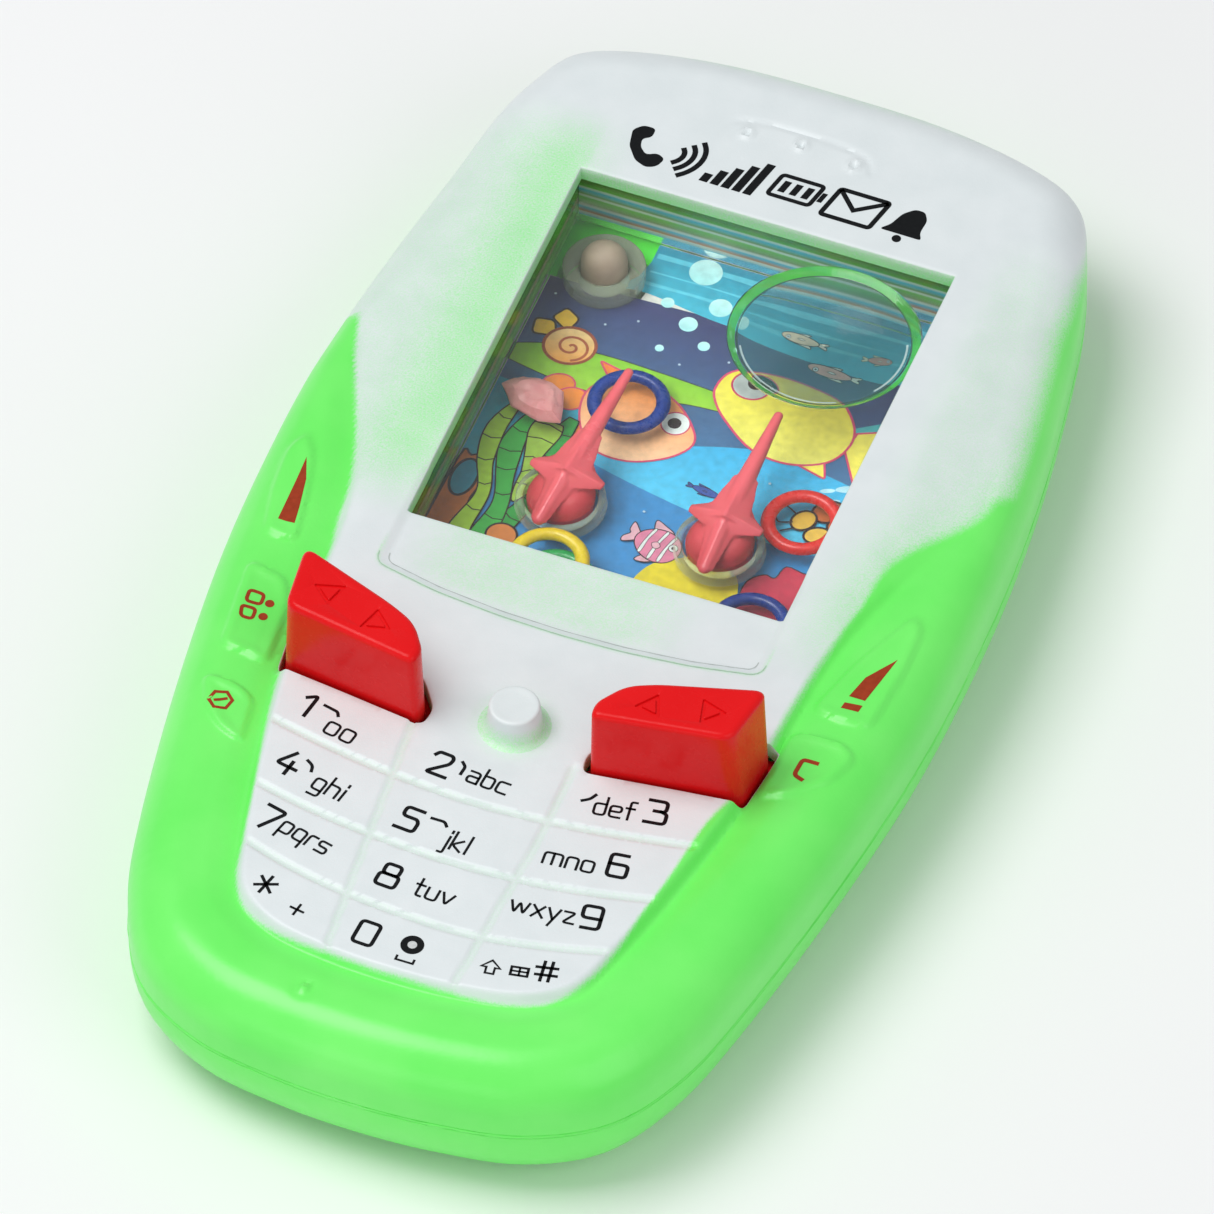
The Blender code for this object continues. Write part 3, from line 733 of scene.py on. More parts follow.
def thin_clear(name, colour, milk=0.0):
    """Thin clear plastic: it shines at a slant, and may be slightly milky."""
    made, tree = new_material(name)
    clear = node(tree, "ShaderNodeBsdfTransparent", {"Color": (*colour, 1)})
    shine = node(tree, "ShaderNodeBsdfGlossy", {"Color": (1, 1, 1, 1), "Roughness": 0.06})
    edge = node(tree, "ShaderNodeFresnel", {"IOR": 1.2})
    mix = node(tree, "ShaderNodeMixShader", {0: edge.outputs[0], 1: clear.outputs[0], 2: shine.outputs[0]})
    if milk:
        haze = node(tree, "ShaderNodeBsdfPrincipled", {"Base Color": (0.84, 0.95, 0.70, 1), "Roughness": 0.2})
        slant = node(tree, "ShaderNodeFresnel", {"IOR": 1.45}).outputs[0]
        cloud = centred(tree, grain(tree, 1.6, 3.0), 0.04)
        share = spread(tree, maths(tree, "ADD", slant, cloud), 0.0, 0.35, milk, 0.5)
        mix = node(tree, "ShaderNodeMixShader", {0: share, 1: mix.outputs[0], 2: haze.outputs[0]})
    return ends_at(made, tree, mix)


def repaint(name, made):
    """A CAD node whose shape is right keeps its mesh and takes a better material."""
    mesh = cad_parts[name].data
    mesh.materials.clear()
    mesh.materials.append(made)


GREEN = ((0.150, 0.905, 0.125), (0.195, 0.945, 0.160))
PAINT = ((0.735, 0.790, 0.800), (0.775, 0.825, 0.835))
case_paint = painted_plastic("case_green_and_white", GREEN, PAINT)
case_green = plastic("case_green", *GREEN, roughness=(0.28, 0.38), bump=0.014)
lit_green = plastic("case_green_inside", (0.08, 0.90, 0.04), (0.11, 0.95, 0.05), roughness=(0.4, 0.5))
red_plastic = plastic(
    "button_red", (0.76, 0.006, 0.008), (0.82, 0.010, 0.012), (0.2, 0.3), bump=0.012,
    **{"Specular IOR Level": 0.15},
)
# The pegs' pink darkens towards their feet: painted shade.
pink_plastic = foot_shaded_plastic("peg_pink", (0.52, 0.012, 0.020), (0.86, 0.135, 0.160), (7.6, 11.0))
rubber = plastic("rubber_beige", (0.36, 0.28, 0.20), (0.46, 0.36, 0.27), (0.5, 0.65), lump=3.0, bump=0.03)
collar_white = plastic("collar_white", (0.70, 0.72, 0.72), (0.78, 0.80, 0.80))
shard_pink = plastic(
    "shell_pink", (0.86, 0.32, 0.32), (0.94, 0.46, 0.44), (0.22, 0.4), lump=2.0, bump=0.05, Alpha=0.86
)
RING_COLOURS = {
    "blue": ((0.003, 0.030, 0.22), (0.004, 0.045, 0.30)),
    "red": ((0.74, 0.018, 0.012), (0.82, 0.03, 0.02)),
    "green": ((0.010, 0.34, 0.07), (0.018, 0.42, 0.10)),
    "yellow": ((0.78, 0.58, 0.012), (0.86, 0.68, 0.02)),
}
ring_plastics = {name: plastic(f"ring_{name}", *pair, (0.22, 0.32)) for name, pair in RING_COLOURS.items()}
key_ink = printed("key_ink", 0.35)
wing_ink = printed("wing_ink", 0.45, size=0.5)
card_ink = printed("picture_print", 0.45, size=0.8)
clear_front = see_through("clear_tank", (0.995, 1.0, 0.998), 1.49)
water_clear = see_through("water", (0.992, 1.0, 0.998), 1.333, bump=0.004, bump_size=14.0)
clear_back = thin_clear("clear_tank_back", (0.99, 1.0, 0.995))
milky = thin_clear("clear_tank_milky", (0.96, 0.99, 0.95), milk=0.16)

# ---------------------------------------------------------------- front shell

# Grid lines over the face: where a stretch starts, and their spacing in it.
FACE_COLUMNS = (
    (-33.6, 0.4), (-30.5, 0.27), (-21.4, 0.21), (-WINDOW_X, 0.24), (WINDOW_X, 0.21), (21.4, 0.27),
    (30.5, 0.4), (33.6, 0),
)
FACE_ROWS = (
    (-60.0, 0.4), (-51.5, 0.18), (-24.4, 0.32), (WINDOW_Y[0], 0.6), (WINDOW_Y[1], 0.32), (54.5, 0.4),
    (60.0, 0),
)
SLOT_BEND = 0.9
WALL_START = 1.4
WALL_STEPS = 11
LIP = 0.2
# From an opening's edge: how far inwards and down each ring of its rim lies, and the paint there.
RIM_DEPTH = 1.4
RIM_STEPS = ((0.07, 0.04), (0.12, 0.13), (0.13, RIM_DEPTH * 0.5), (0.13, RIM_DEPTH + 0.15))
RIM_COVER = (0.95, 0.72, 0.5, 0.35)
PAINT_BAND = ((-20.4, 3.6), (-3.0, 47.0))


def paint_cover(x, y, z):
    """How much white paint lies on the face: 1 where it covers, 0 on bare green."""
    p = inside(x, y, PAINT_LINE)
    left = 0.35 + 0.1 * ease((y + 18) / 10) + 0.9 * ease((y - 16) / 16)
    right = 0.4 + 0.5 * ease((y + 28) / 10) + 1.6 * ease((y - 2) / 14)
    soft = np.where(x < 0, left, right)
    raised = 1.3 * ease((y - 2) / 8) * (1 - ease((y - 20) / 8))
    cover = ease((p - np.where(x < 0, 0.0, raised)) / soft + np.where(x < 0, 0.45, 0.35))
    low_wall = 9.2 + 3.4 * ease((x + 12) / 24) - 2.8 * ease((y - 46) / 10)
    cover = cover * ease((z - low_wall) / 2.6)
    middle, half = PAINT_BAND[0]
    along = ease((y - PAINT_BAND[1][0]) / 10) * (1 - ease((y - PAINT_BAND[1][1] + 6) / 8))
    haze = 0.30 * np.exp(-(((x - middle - 0.03 * (y - 20)) / half) ** 2)) * along
    haze = haze + 0.13 * ease((-x - 17) / 4) * along + 0.10 * ease((x - 19) / 5) * along
    haze = haze + 0.16 * ease((x + 21.3) / 3) * ease((-x - 17) / 0.5) * along
    haze = haze + 0.16 * ease((y - 57.0) / 2.0)
    beside = np.where(x > 0, 0.26 * np.exp(-((p / 4.0) ** 2)), 0.0)
    haze = haze + beside * ease((y + 8) / 10) * (1 - ease((y - 34) / 12))
    panel = inside(x, y, DISPLAY_LINE)
    haze = haze + 0.17 * ease(panel / 2.5) * (1 - ease((np.abs(x + 3) - 7) / 8))
    haze = haze + 0.22 * (1 - ease(np.abs(panel) / 0.3)) * ease((-y - 3.5) / 2.5)
    channel = 1 - ease((np.min(key_grooves(x, y), axis=0) - 0.3) / 0.15)
    haze = haze + 0.07 * channel * ease((-y - 22) / 2)
    dish = np.hypot(x - NUB_AT[0], y - NUB_AT[1])
    haze = haze + 0.06 * (1 - ease((dish - 3.2) / 1.4))
    return np.clip(cover - haze, 0, 1)


def boundary_loops(quads):
    """The closed loops of vertex numbers round the quads, longest first."""
    edges = set()
    for a, b, c, d in quads.tolist():
        for edge in ((a, b), (b, c), (c, d), (d, a)):
            if (edge[1], edge[0]) in edges:
                edges.remove((edge[1], edge[0]))
            else:
                edges.add(edge)
    ahead = dict(sorted(edges))
    loops = []
    while ahead:
        start = next(iter(ahead))
        loop = [start]
        step = ahead.pop(start)
        while step != start:
            loop.append(step)
            step = ahead.pop(step)
        loops.append(loop)
    return sorted(loops, key=len, reverse=True)


def strip(verts, faces, loop, rings):
    """Skin from a loop of vertices over further rings of as many points."""
    before = loop
    for ring in rings:
        start = len(verts)
        verts.extend(ring.tolist())
        after = list(range(start, start + len(ring)))
        for i in range(len(after)):
            j = (i + 1) % len(after)
            faces.append((before[j], before[i], after[i], after[j]))
        before = after


def face_grid(slots):
    """The places of a grid's points over the face, and the squares that keep clear of its openings."""
    xs, ys = grid_lines(FACE_COLUMNS), grid_lines(FACE_ROWS)
    gx, gy = np.meshgrid(xs, ys)
    kept = inside(gx, gy, SEAM_LINE) >= WALL_START
    for slot in slots:
        kept &= inside(gx, gy, slot) <= 0
    cells = kept[:-1, :-1] & kept[1:, :-1] & kept[:-1, 1:] & kept[1:, 1:]
    mid_x, mid_y = (xs[:-1] + xs[1:]) / 2, (ys[:-1] + ys[1:]) / 2
    across = (np.abs(mid_x) < WINDOW_X)[None, :]
    along = ((mid_y > WINDOW_Y[0]) & (mid_y < WINDOW_Y[1]))[:, None]
    rows, columns = np.nonzero(cells & ~(across & along))
    wide = len(xs)
    corner = rows * wide + columns
    quads = np.stack([corner, corner + 1, corner + wide + 1, corner + wide], 1)
    return gx.ravel().copy(), gy.ravel().copy(), quads


def edge_rings(x, y, foot_x, foot_y):
    """Rings from the grid's edge over the rounded edge to the outline, and down it to the seam."""
    top = top_height(x, y)

    def ring(depth, z):
        across = foot_x + (x - foot_x) * depth / WALL_START
        along = foot_y + (y - foot_y) * depth / WALL_START
        return np.stack([across, along, z], 1)

    rings = []
    for step in range(1, WALL_STEPS + 1):
        depth = WALL_START * (1 - step / WALL_STEPS) ** 1.7
        rings.append(ring(depth, top - edge_drop(depth)))
    for share in (0.35, 0.7, 1.0):
        rings.append(ring(0, (top - EDGE_RADIUS) * (1 - share) + SKIRT_Z * share))
    return rings + [ring(LIP, np.full(len(top), SEAM_Z + SEAM_GAP))]


def rim_rings(x, y, z):
    """Rings from the edge of an opening over its small radius and down its wall."""
    centre_x, centre_y = (x.min() + x.max()) / 2, (y.min() + y.max()) / 2
    is_window = x.max() - x.min() > WINDOW_X
    away = np.hypot(x - centre_x, y - centre_y)
    rings = []
    for inwards, down in RIM_STEPS:
        if is_window:
            rx = np.clip(x, -WINDOW_X + inwards, WINDOW_X - inwards)
            ry = np.clip(y, WINDOW_Y[0] + inwards, WINDOW_Y[1] - inwards)
        else:
            rx, ry = x - (x - centre_x) / away * inwards, y - (y - centre_y) / away * inwards
        rings.append(np.stack([rx, ry, z - down], 1))
    return rings


def front_shell():
    """The painted front half: its moulded face, its edge down to the seam, and its openings' rims."""
    slots = [rounded(SLOT, SLOT_BEND), rounded(flipped(SLOT), SLOT_BEND)]
    fx, fy, quads = face_grid(slots)
    outer, *openings = [np.array(loop) for loop in boundary_loops(quads)]
    foot_x, foot_y = nearest(fx[outer], fy[outer], SEAM_LINE)
    reach = np.hypot(fx[outer] - foot_x, fy[outer] - foot_y)
    fx[outer] = foot_x + (fx[outer] - foot_x) * WALL_START / reach
    fy[outer] = foot_y + (fy[outer] - foot_y) * WALL_START / reach
    for ids in openings:
        middle = fx[ids].mean()
        if abs(middle) > SLOT[0][0] / 2:
            fx[ids], fy[ids] = nearest(fx[ids], fy[ids], slots[0] if middle > 0 else slots[1])

    used = np.unique(quads)
    place = np.full(len(fx), -1)
    place[used] = np.arange(len(used))
    fx, fy = fx[used], fy[used]
    fz = face_height(fx, fy)
    verts = np.stack([fx, fy, fz], 1).tolist()
    faces = place[quads].tolist()
    ids = place[outer]
    rings = edge_rings(fx[ids], fy[ids], foot_x, foot_y)
    strip(verts, faces, ids.tolist(), rings)
    cover = [paint_cover(fx, fy, fz)] + [paint_cover(*ring.T) for ring in rings]
    for opening in openings:
        ids = place[opening]
        strip(verts, faces, ids.tolist(), rim_rings(fx[ids], fy[ids], fz[ids]))
        cover += [np.full(len(ids), share) for share in RIM_COVER]

    shell = piece("front_shell_skin", verts, faces, case_paint, sharp=40)
    point_values(shell, "cover", np.concatenate(cover))
    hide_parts("front_shell")


def nub():
    """The joystick-like stub between the buttons, sprayed with the face."""
    foot = float(face_height(np.array([NUB_AT[0]]), np.array([NUB_AT[1] - 3.2]))[0])
    profile = [(0, 18.86), (1.2, 18.88), (1.62, 18.94), (1.86, 18.99)]
    profile += arc_profile((2.0, 18.72), 0.28, 90, 5, 6)
    profile += [(2.34, 18.0), (2.44, 17.2), (2.58, foot + 0.42), (2.82, foot + 0.14), (3.3, foot - 0.03)]
    made = lathe("nub", profile, NUB_AT, case_paint, steps=72, sharp=50)
    heights = np.array([v.co.z for v in made.data.vertices]) / MM
    point_values(made, "cover", 0.99 - 0.34 * ease((18.2 - heights) / 1.6))


front_shell()
nub()

# ---------------------------------------------------------------- back shell

BACK_ROUND = 7.6
BACK_DROP = 8.2
PLUG_AT = (-13.7, 36.8)
PLUG_HOLE = 4.3
PLUG_COLLAR_Z = 4.1
PLUG_COLLAR = 7.8
MARK_RADIUS = 1.7
MARK_DEPTH = 0.14
EJECTOR_MARKS = ((-20, 48), (20, 48), (24, 8), (-24, 8), (-18, -40), (18, -40), (0, -8), (0, -52))


def back_shell():
    """The back half: straight at the seam, rounded under, flat behind, with the plug's hole and marks."""
    line = seam_line(6)
    ahead, behind = np.roll(line, -1, 0), np.roll(line, 1, 0)
    along = ahead - behind
    along /= np.hypot(along[:, 0], along[:, 1])[:, None]
    inwards = np.stack([along[:, 1], -along[:, 0]], 1)
    rings = [(LIP, SEAM_Z - SEAM_GAP), (0.0, SEAM_Z - SEAM_GAP - LIP), (0.0, BACK_DROP)]
    for step in range(1, 15):
        angle = math.radians(90 * step / 14)
        rings.append((BACK_ROUND * (1 - math.cos(angle)), BACK_DROP * (1 - math.sin(angle))))
    bm = bmesh.new()
    loops = []
    for inset, z in rings:
        loops.append([bm.verts.new((*(p + n * inset), z)) for p, n in zip(line, inwards)])
    for upper, lower in zip(loops, loops[1:]):
        skin(bm, upper, lower)
    rims = [loops[-1]]
    spots = [(PLUG_AT, PLUG_HOLE, 56, (0.25, PLUG_COLLAR_Z))]
    spots += [(at, MARK_RADIUS, 32, (0.05, MARK_DEPTH)) for at in EJECTOR_MARKS]
    for at, radius, steps, heights in spots:
        previous = [bm.verts.new((*p, 0)) for p in oval(at, radius, steps=steps)]
        rims.append(previous)
        for inset, z in zip((0.06, 0.08), heights):
            ring = [bm.verts.new((*p, z)) for p in oval(at, radius - inset, steps=steps)]
            skin(bm, ring, previous)
            previous = ring
        if at != PLUG_AT:
            bm.faces.new(previous)
    fill_between(bm, rims)
    bmesh.ops.recalc_face_normals(bm, faces=bm.faces)
    shell = from_bmesh("back_shell_skin", bm, case_green, sharp=40)
    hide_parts("back_shell")
    collar = [(PLUG_HOLE - 0.1, PLUG_COLLAR_Z - 0.4), (PLUG_HOLE, PLUG_COLLAR_Z)]
    collar += [(PLUG_COLLAR - 0.2, PLUG_COLLAR_Z), (PLUG_COLLAR, PLUG_COLLAR_Z - 0.2), (PLUG_COLLAR, 1.0)]
    lathe("plug_collar", collar, PLUG_AT, lit_green, steps=72)


def seam_glue():
    """Thin, lumpy glue that squeezed out of the seam, more in some stretches than in others."""
    count = 900
    line = seam_line(40)
    run = np.linspace(0, len(line), count, endpoint=False).astype(int)
    points = line[run]
    ahead = np.roll(points, -1, 0) - np.roll(points, 1, 0)
    ahead /= np.hypot(ahead[:, 0], ahead[:, 1])[:, None]
    outwards = np.stack([-ahead[:, 1], ahead[:, 0]], 1)
    verts = []
    sides = 8
    for p, n in zip(points, outwards):
        lump = noise.noise(Vector((p[0] * 0.9, p[1] * 0.9, 3.1)))
        patch = noise.noise(Vector((p[0] * 0.16, p[1] * 0.16, 9.4)))
        radius = max(0.02, 0.13 + 0.10 * lump + 0.12 * patch)
        height = SEAM_Z + 0.08 * noise.noise(Vector((p[0], p[1], 21.7)))
        for k in range(sides):
            a = math.tau * k / sides
            out = -0.12 + radius * math.cos(a)
            verts.append((p[0] + n[0] * out, p[1] + n[1] * out, height + radius * 1.1 * math.sin(a)))
    low, high = np.array(cad_bounds[0]) / MM, np.array(cad_bounds[1]) / MM
    bead = piece("seam_glue", np.clip(verts, low, high), tube_faces(count, sides), case_green, sharp=60)


back_shell()
seam_glue()

# ---------------------------------------------------------------- print on the face

BLACK = (0.004, 0.005, 0.006)
BROWN = (0.34, 0.040, 0.010)
STROKES = {
    "0": (((0, 0), (0, 1), (0.72, 1), (0.72, 0), (0, 0)),),
    "1": (((0.02, 0.76), (0.34, 1), (0.34, 0)),),
    "2": (((0.02, 0.84), (0.12, 1), (0.62, 1), (0.70, 0.86), (0.66, 0.62), (0, 0), (0.76, 0)),),
    "3": (((0.02, 1), (0.66, 1), (0.66, 0.54), (0.26, 0.54)), ((0.5, 0.54), (0.72, 0.46), (0.72, 0), (0, 0))),
    "4": (((0.42, 1), (0, 0.32), (0.78, 0.32)), ((0.52, 0.58), (0.52, 0))),
    "5": (((0.70, 1), (0.06, 1), (0.06, 0.58), (0.62, 0.58), (0.72, 0.44), (0.72, 0), (0, 0)),),
    "6": (((0.62, 1), (0.04, 1), (0.04, 0), (0.72, 0), (0.72, 0.56), (0.04, 0.56)),),
    "7": (((0, 1), (0.74, 1), (0.26, 0)),),
    "8": (
        ((0.08, 0.54), (0.08, 1), (0.66, 1), (0.66, 0.54), (0.08, 0.54)),
        ((0, 0), (0, 0.54), (0.74, 0.54), (0.74, 0), (0, 0)),
    ),
    "9": (((0.72, 0.46), (0.04, 0.46), (0.04, 1), (0.72, 1), (0.72, 0), (0.12, 0)),),
    "a": (((0.04, 0.62), (0.5, 0.62), (0.5, 0)), ((0.5, 0.34), (0, 0.34), (0, 0), (0.5, 0))),
    "b": (((0, 1), (0, 0), (0.5, 0), (0.5, 0.62), (0, 0.62)),),
    "c": (((0.48, 0.62), (0, 0.62), (0, 0), (0.48, 0)),),
    "d": (((0.5, 1), (0.5, 0), (0, 0), (0, 0.62), (0.5, 0.62)),),
    "e": (((0.04, 0.31), (0.5, 0.31), (0.5, 0.62), (0, 0.62), (0, 0), (0.48, 0)),),
    "f": (((0.38, 1), (0.14, 1), (0.14, 0)), ((0, 0.62), (0.34, 0.62))),
    "g": (((0.5, 0), (0, 0), (0, 0.62), (0.5, 0.62), (0.5, -0.34), (0.02, -0.34)),),
    "h": (((0, 0), (0, 1)), ((0, 0.62), (0.5, 0.62), (0.5, 0))),
    "i": (((0.05, 0), (0.05, 0.62)), ((0.05, 0.86), (0.05, 0.96))),
    "j": (((0.2, 0.62), (0.2, -0.34), (0, -0.34)), ((0.2, 0.86), (0.2, 0.96))),
    "k": (((0, 0), (0, 1)), ((0.44, 0.62), (0.04, 0.28), (0.48, 0))),
    "l": (((0.05, 0), (0.05, 1)),),
    "m": (((0, 0), (0, 0.62), (0.82, 0.62), (0.82, 0)), ((0.41, 0.62), (0.41, 0))),
    "n": (((0, 0), (0, 0.62), (0.5, 0.62), (0.5, 0)),),
    "o": (((0, 0), (0, 0.62), (0.52, 0.62), (0.52, 0), (0, 0)),),
    "p": (((0, -0.34), (0, 0.62), (0.5, 0.62), (0.5, 0), (0, 0)),),
    "q": (((0.5, -0.34), (0.5, 0.62), (0, 0.62), (0, 0), (0.5, 0)),),
    "r": (((0, 0), (0, 0.62), (0.34, 0.62)),),
    "s": (((0.48, 0.62), (0, 0.62), (0, 0.32), (0.48, 0.32), (0.48, 0), (0, 0)),),
    "t": (((0.14, 0.96), (0.14, 0), (0.36, 0)), ((0, 0.62), (0.36, 0.62))),
    "u": (((0, 0.62), (0, 0), (0.5, 0), (0.5, 0.62)),),
    "v": (((0, 0.62), (0.26, 0), (0.52, 0.62)),),
    "w": (((0, 0.62), (0.2, 0), (0.4, 0.62), (0.6, 0), (0.8, 0.62)),),
    "x": (((0, 0.62), (0.48, 0)), ((0, 0), (0.48, 0.62))),
    "y": (((0, 0.62), (0.26, 0.04)), ((0.52, 0.62), (0.14, -0.34))),
    "z": (((0, 0.62), (0.48, 0.62), (0, 0), (0.48, 0)),),
    "*": (((0.36, 0.05), (0.36, 0.95)), ((0, 0.25), (0.72, 0.75)), ((0, 0.75), (0.72, 0.25))),
    "+": (((0.3, 0.1), (0.3, 0.7)), ((0, 0.4), (0.6, 0.4))),
    "#": (
        ((0.22, 0), (0.3, 1)), ((0.56, 0), (0.64, 1)), ((0, 0.3), (0.86, 0.3)), ((0, 0.7), (0.86, 0.7)),
    ),
}
GLYPH_GAP = 0.2
# No edge of the print is longer than this, so that it follows the face.
PRINT_EDGE = 0.9

# What is printed on the keys: text, centre, height, turn in degrees, stroke width.
KEY_LABELS = (
    ("1", (-17.7, -25.0), 2.5, -10, 0.36), ("oo", (-13.8, -26.6), 2.2, -10, 0.24),
    ("2", (-4.3, -27.2), 2.5, -5, 0.36), ("abc", (0.3, -27.3), 2.0, -4, 0.24),
    ("def", (11.7, -26.4), 2.0, 8, 0.24), ("3", (15.3, -25.5), 2.5, 8, 0.36),
    ("4", (-16.8, -31.8), 2.5, -11, 0.36), ("ghi", (-12.4, -33.0), 2.0, -11, 0.24),
    ("5", (-4.6, -34.0), 2.5, -5, 0.36), ("jkl", (0.2, -34.9), 2.0, -4, 0.24),
    ("mno", (10.1, -33.2), 2.0, 5, 0.24), ("6", (14.3, -32.4), 2.5, 7, 0.36),
    ("7", (-16.0, -38.3), 2.5, -14, 0.36), ("pqrs", (-12.3, -38.9), 2.0, -14, 0.24),
    ("8", (-3.9, -40.6), 2.5, -4, 0.36), ("tuv", (0.5, -40.9), 2.0, -3, 0.24),
    ("wxyz", (10.0, -39.3), 2.0, 6, 0.24), ("9", (14.2, -38.7), 2.5, 8, 0.36),
    ("*", (-13.6, -45.4), 2.2, -14, 0.30), ("+", (-10.0, -46.9), 2.0, -10, 0.24),
    ("0", (-3.4, -47.4), 2.5, -3, 0.36), ("#", (12.8, -45.8), 2.1, 12, 0.30),
)
# Short accent marks beside the first five digits, as lines.
KEY_TICKS = (
    ((-16.2, -24.6), (-14.9, -24.9), (-14.7, -25.3)), ((-2.6, -26.3), (-2.2, -26.7), (-2.3, -27.6)),
    ((9.6, -25.6), (9.3, -26.2), (8.7, -26.6)), ((-15.3, -31.0), (-14.7, -31.4), (-14.6, -32.0)),
    ((-2.8, -33.2), (-1.6, -33.2), (-1.3, -33.6)),
)


def letter_lines(text, centre, height, turn):
    """Lines of a label, centred on a point."""
    lines, cursor = [], 0.0
    for sign in text:
        strokes = STROKES[sign]
        width = max(p[0] for line in strokes for p in line)
        lines += [[(cursor + x, y) for x, y in line] for line in strokes]
        cursor += width + GLYPH_GAP
    middle = (cursor - GLYPH_GAP) / 2
    sized = [[((x - middle) * height, (y - 0.5) * height) for x, y in line] for line in lines]
    return [turned(line, centre, turn) for line in sized]


def key_print():
    """The digits, letters and signs of the keys."""
    sheet = Sheet()
    for text, centre, height, turn, width in KEY_LABELS:
        for line in letter_lines(text, centre, height, turn):
            if math.dist(line[0], line[-1]) < 1e-6:
                sheet.stroke(rounded(line[:-1], height * 0.16), width, BLACK, closed=True)
            else:
                sheet.stroke(soften(line, height * 0.16), width, BLACK)
    for line in KEY_TICKS:
        sheet.stroke(soften(line, 0.4), 0.3, BLACK)
    # A plain round button sign over a space mark, an up arrow, and a small grid.
    button_sign = (0.8, -47.2)
    sheet.disc(button_sign, 1.05, BLACK)
    sheet.disc(button_sign, 0.42, (0.6, 0.62, 0.62), 0.006)
    space_mark = ((-0.8, 0.4), (-0.8, 0), (0.8, 0), (0.8, 0.4))
    sheet.stroke(turned(space_mark, (0.8, -49.2), 0), 0.22, BLACK)
    arrow = ((0, 0.9), (0.85, 0.1), (0.38, 0.1), (0.38, -0.6), (-0.38, -0.6), (-0.38, 0.1), (-0.85, 0.1))
    sheet.stroke(turned(arrow, (8.1, -47.2), 8), 0.2, BLACK, closed=True)
    grid_at = (10.6, -46.7)
    grid = ((-0.75, 0.5), (0.75, 0.5), (0.75, -0.4), (-0.75, -0.4))
    sheet.stroke(turned(grid, grid_at, 10), 0.24, BLACK, closed=True)
    for line in (((0, 0.5), (0, -0.4)), ((-0.75, 0.05), (0.75, 0.05))):
        sheet.stroke(turned(line, grid_at, 10), 0.2, BLACK)
    sheet.mesh("key_print", key_ink, on_face, longest=PRINT_EDGE)


def title_print():
    """Bold slanted signs across the top, all plain telephone signs and no letters."""
    sheet = Sheet()
    start, end = Vector((-15.8, 43.9)), Vector((12.9, 43.6))
    slant = 0.22
    size = 1.16
    along = (end - start).normalized()

    def placed(share, points):
        made = []
        for x, y in points:
            point = start + along * ((end - start).length * share + (x + y * slant) * size)
            made.append((point.x - along.y * y * size, point.y + along.x * y * size))
        return made

    def shape(share, outline):
        sheet.fill(placed(share, outline), BLACK)

    def line(share, points, width, closed=False):
        sheet.stroke(placed(share, points), width, BLACK, closed=closed)

    def block(x, y, width, height):
        return (x, y), (x + width, y), (x + width, y + height), (x, y + height)

    handset = (
        (0, 2.9), (0.5, 3.6), (1.5, 3.6), (1.7, 2.7), (1.15, 2.3), (1.5, 1.5), (2.3, 0.9), (3.0, 1.35),
        (3.8, 1.0), (3.7, 0.1), (3.0, -0.3), (1.9, 0.1), (0.7, 1.3),
    )
    shape(0.0, rounded(handset, 0.35))
    for i in range(3):
        reach = 1.0 + 0.75 * i
        angles = np.linspace(-0.8, 0.8, 12)
        line(0.155, [(math.cos(a) * reach, 1.7 + math.sin(a) * reach) for a in angles], 0.5)
    for i in range(5):
        shape(0.29 + 0.036 * i, block(0, 0, 0.68, 0.9 + 0.65 * i))
    battery, envelope, bell_at = 0.50, 0.685, 0.875
    line(battery, rounded(block(0, 0.7, 3.4, 2.2), 0.3), 0.42, closed=True)
    shape(battery, block(3.65, 1.3, 0.4, 1.0))
    for i in range(3):
        shape(battery, block(0.5 + 0.95 * i, 1.2, 0.55, 1.2))
    line(envelope, rounded(block(0, 0.3, 4.0, 2.9), 0.25), 0.46, closed=True)
    line(envelope, ((0.2, 3.0), (2.0, 1.5), (3.8, 3.0)), 0.46)
    bell = ((0, 0.6), (0.5, 1.3), (0.7, 2.6), (1.3, 3.35), (2.1, 3.35), (2.7, 2.6), (2.9, 1.3), (3.4, 0.6))
    shape(bell_at, rounded(bell, 0.3))
    sheet.disc(placed(bell_at, ((1.7, 0.1),))[0], 0.42, BLACK)
    sheet.mesh("title_print", key_ink, on_face, longest=PRINT_EDGE)


def wing_print():
    """Brown signs on the wings' pads: blades, beans with dots, a hexagon and a hook."""
    sheet = Sheet()
    blades = (
        ((-28.2, 1.6), (-27.3, -0.8), (-26.7, -3.9), (-26.4, -5.9), (-28.0, -5.8), (-28.1, -1.7)),
        ((28.6, -1.4), (27.6, -6.8), (26.1, -6.8), (26.7, -4.3)),
        ((26.0, -7.6), (27.6, -7.4), (27.5, -8.2), (25.9, -8.3)),
    )
    for outline in blades:
        sheet.fill(outline, BROWN)
    beans = (
        ((-27.3, -14.3), (-25.9, -14.4), (-25.8, -15.6), (-27.2, -15.6)),
        ((-27.3, -16.2), (-26.0, -16.2), (-25.9, -17.4), (-27.0, -17.4)),
    )
    for outline in beans:
        sheet.stroke(rounded(outline, 0.4), 0.34, BROWN, closed=True)
    sheet.disc((-25.1, -15.2), 0.42, BROWN)
    sheet.disc((-25.1, -16.8), 0.42, BROWN)
    corners = np.linspace(0.3, 0.3 + math.tau, 7)[:-1]
    hexagon = [(-25.1 + 1.05 * math.cos(a), -27.0 + 1.05 * math.sin(a)) for a in corners]
    sheet.stroke(hexagon, 0.3, BROWN, closed=True)
    sheet.stroke(((-25.5, -27.2), (-24.7, -26.7)), 0.3, BROWN)
    hook = ((26.2, -15.0), (24.9, -15.0), (24.8, -16.9), (25.6, -17.2))
    sheet.stroke(soften(hook, 0.4), 0.42, BROWN)
    sheet.mesh("wing_print", wing_ink, on_face, longest=0.7)


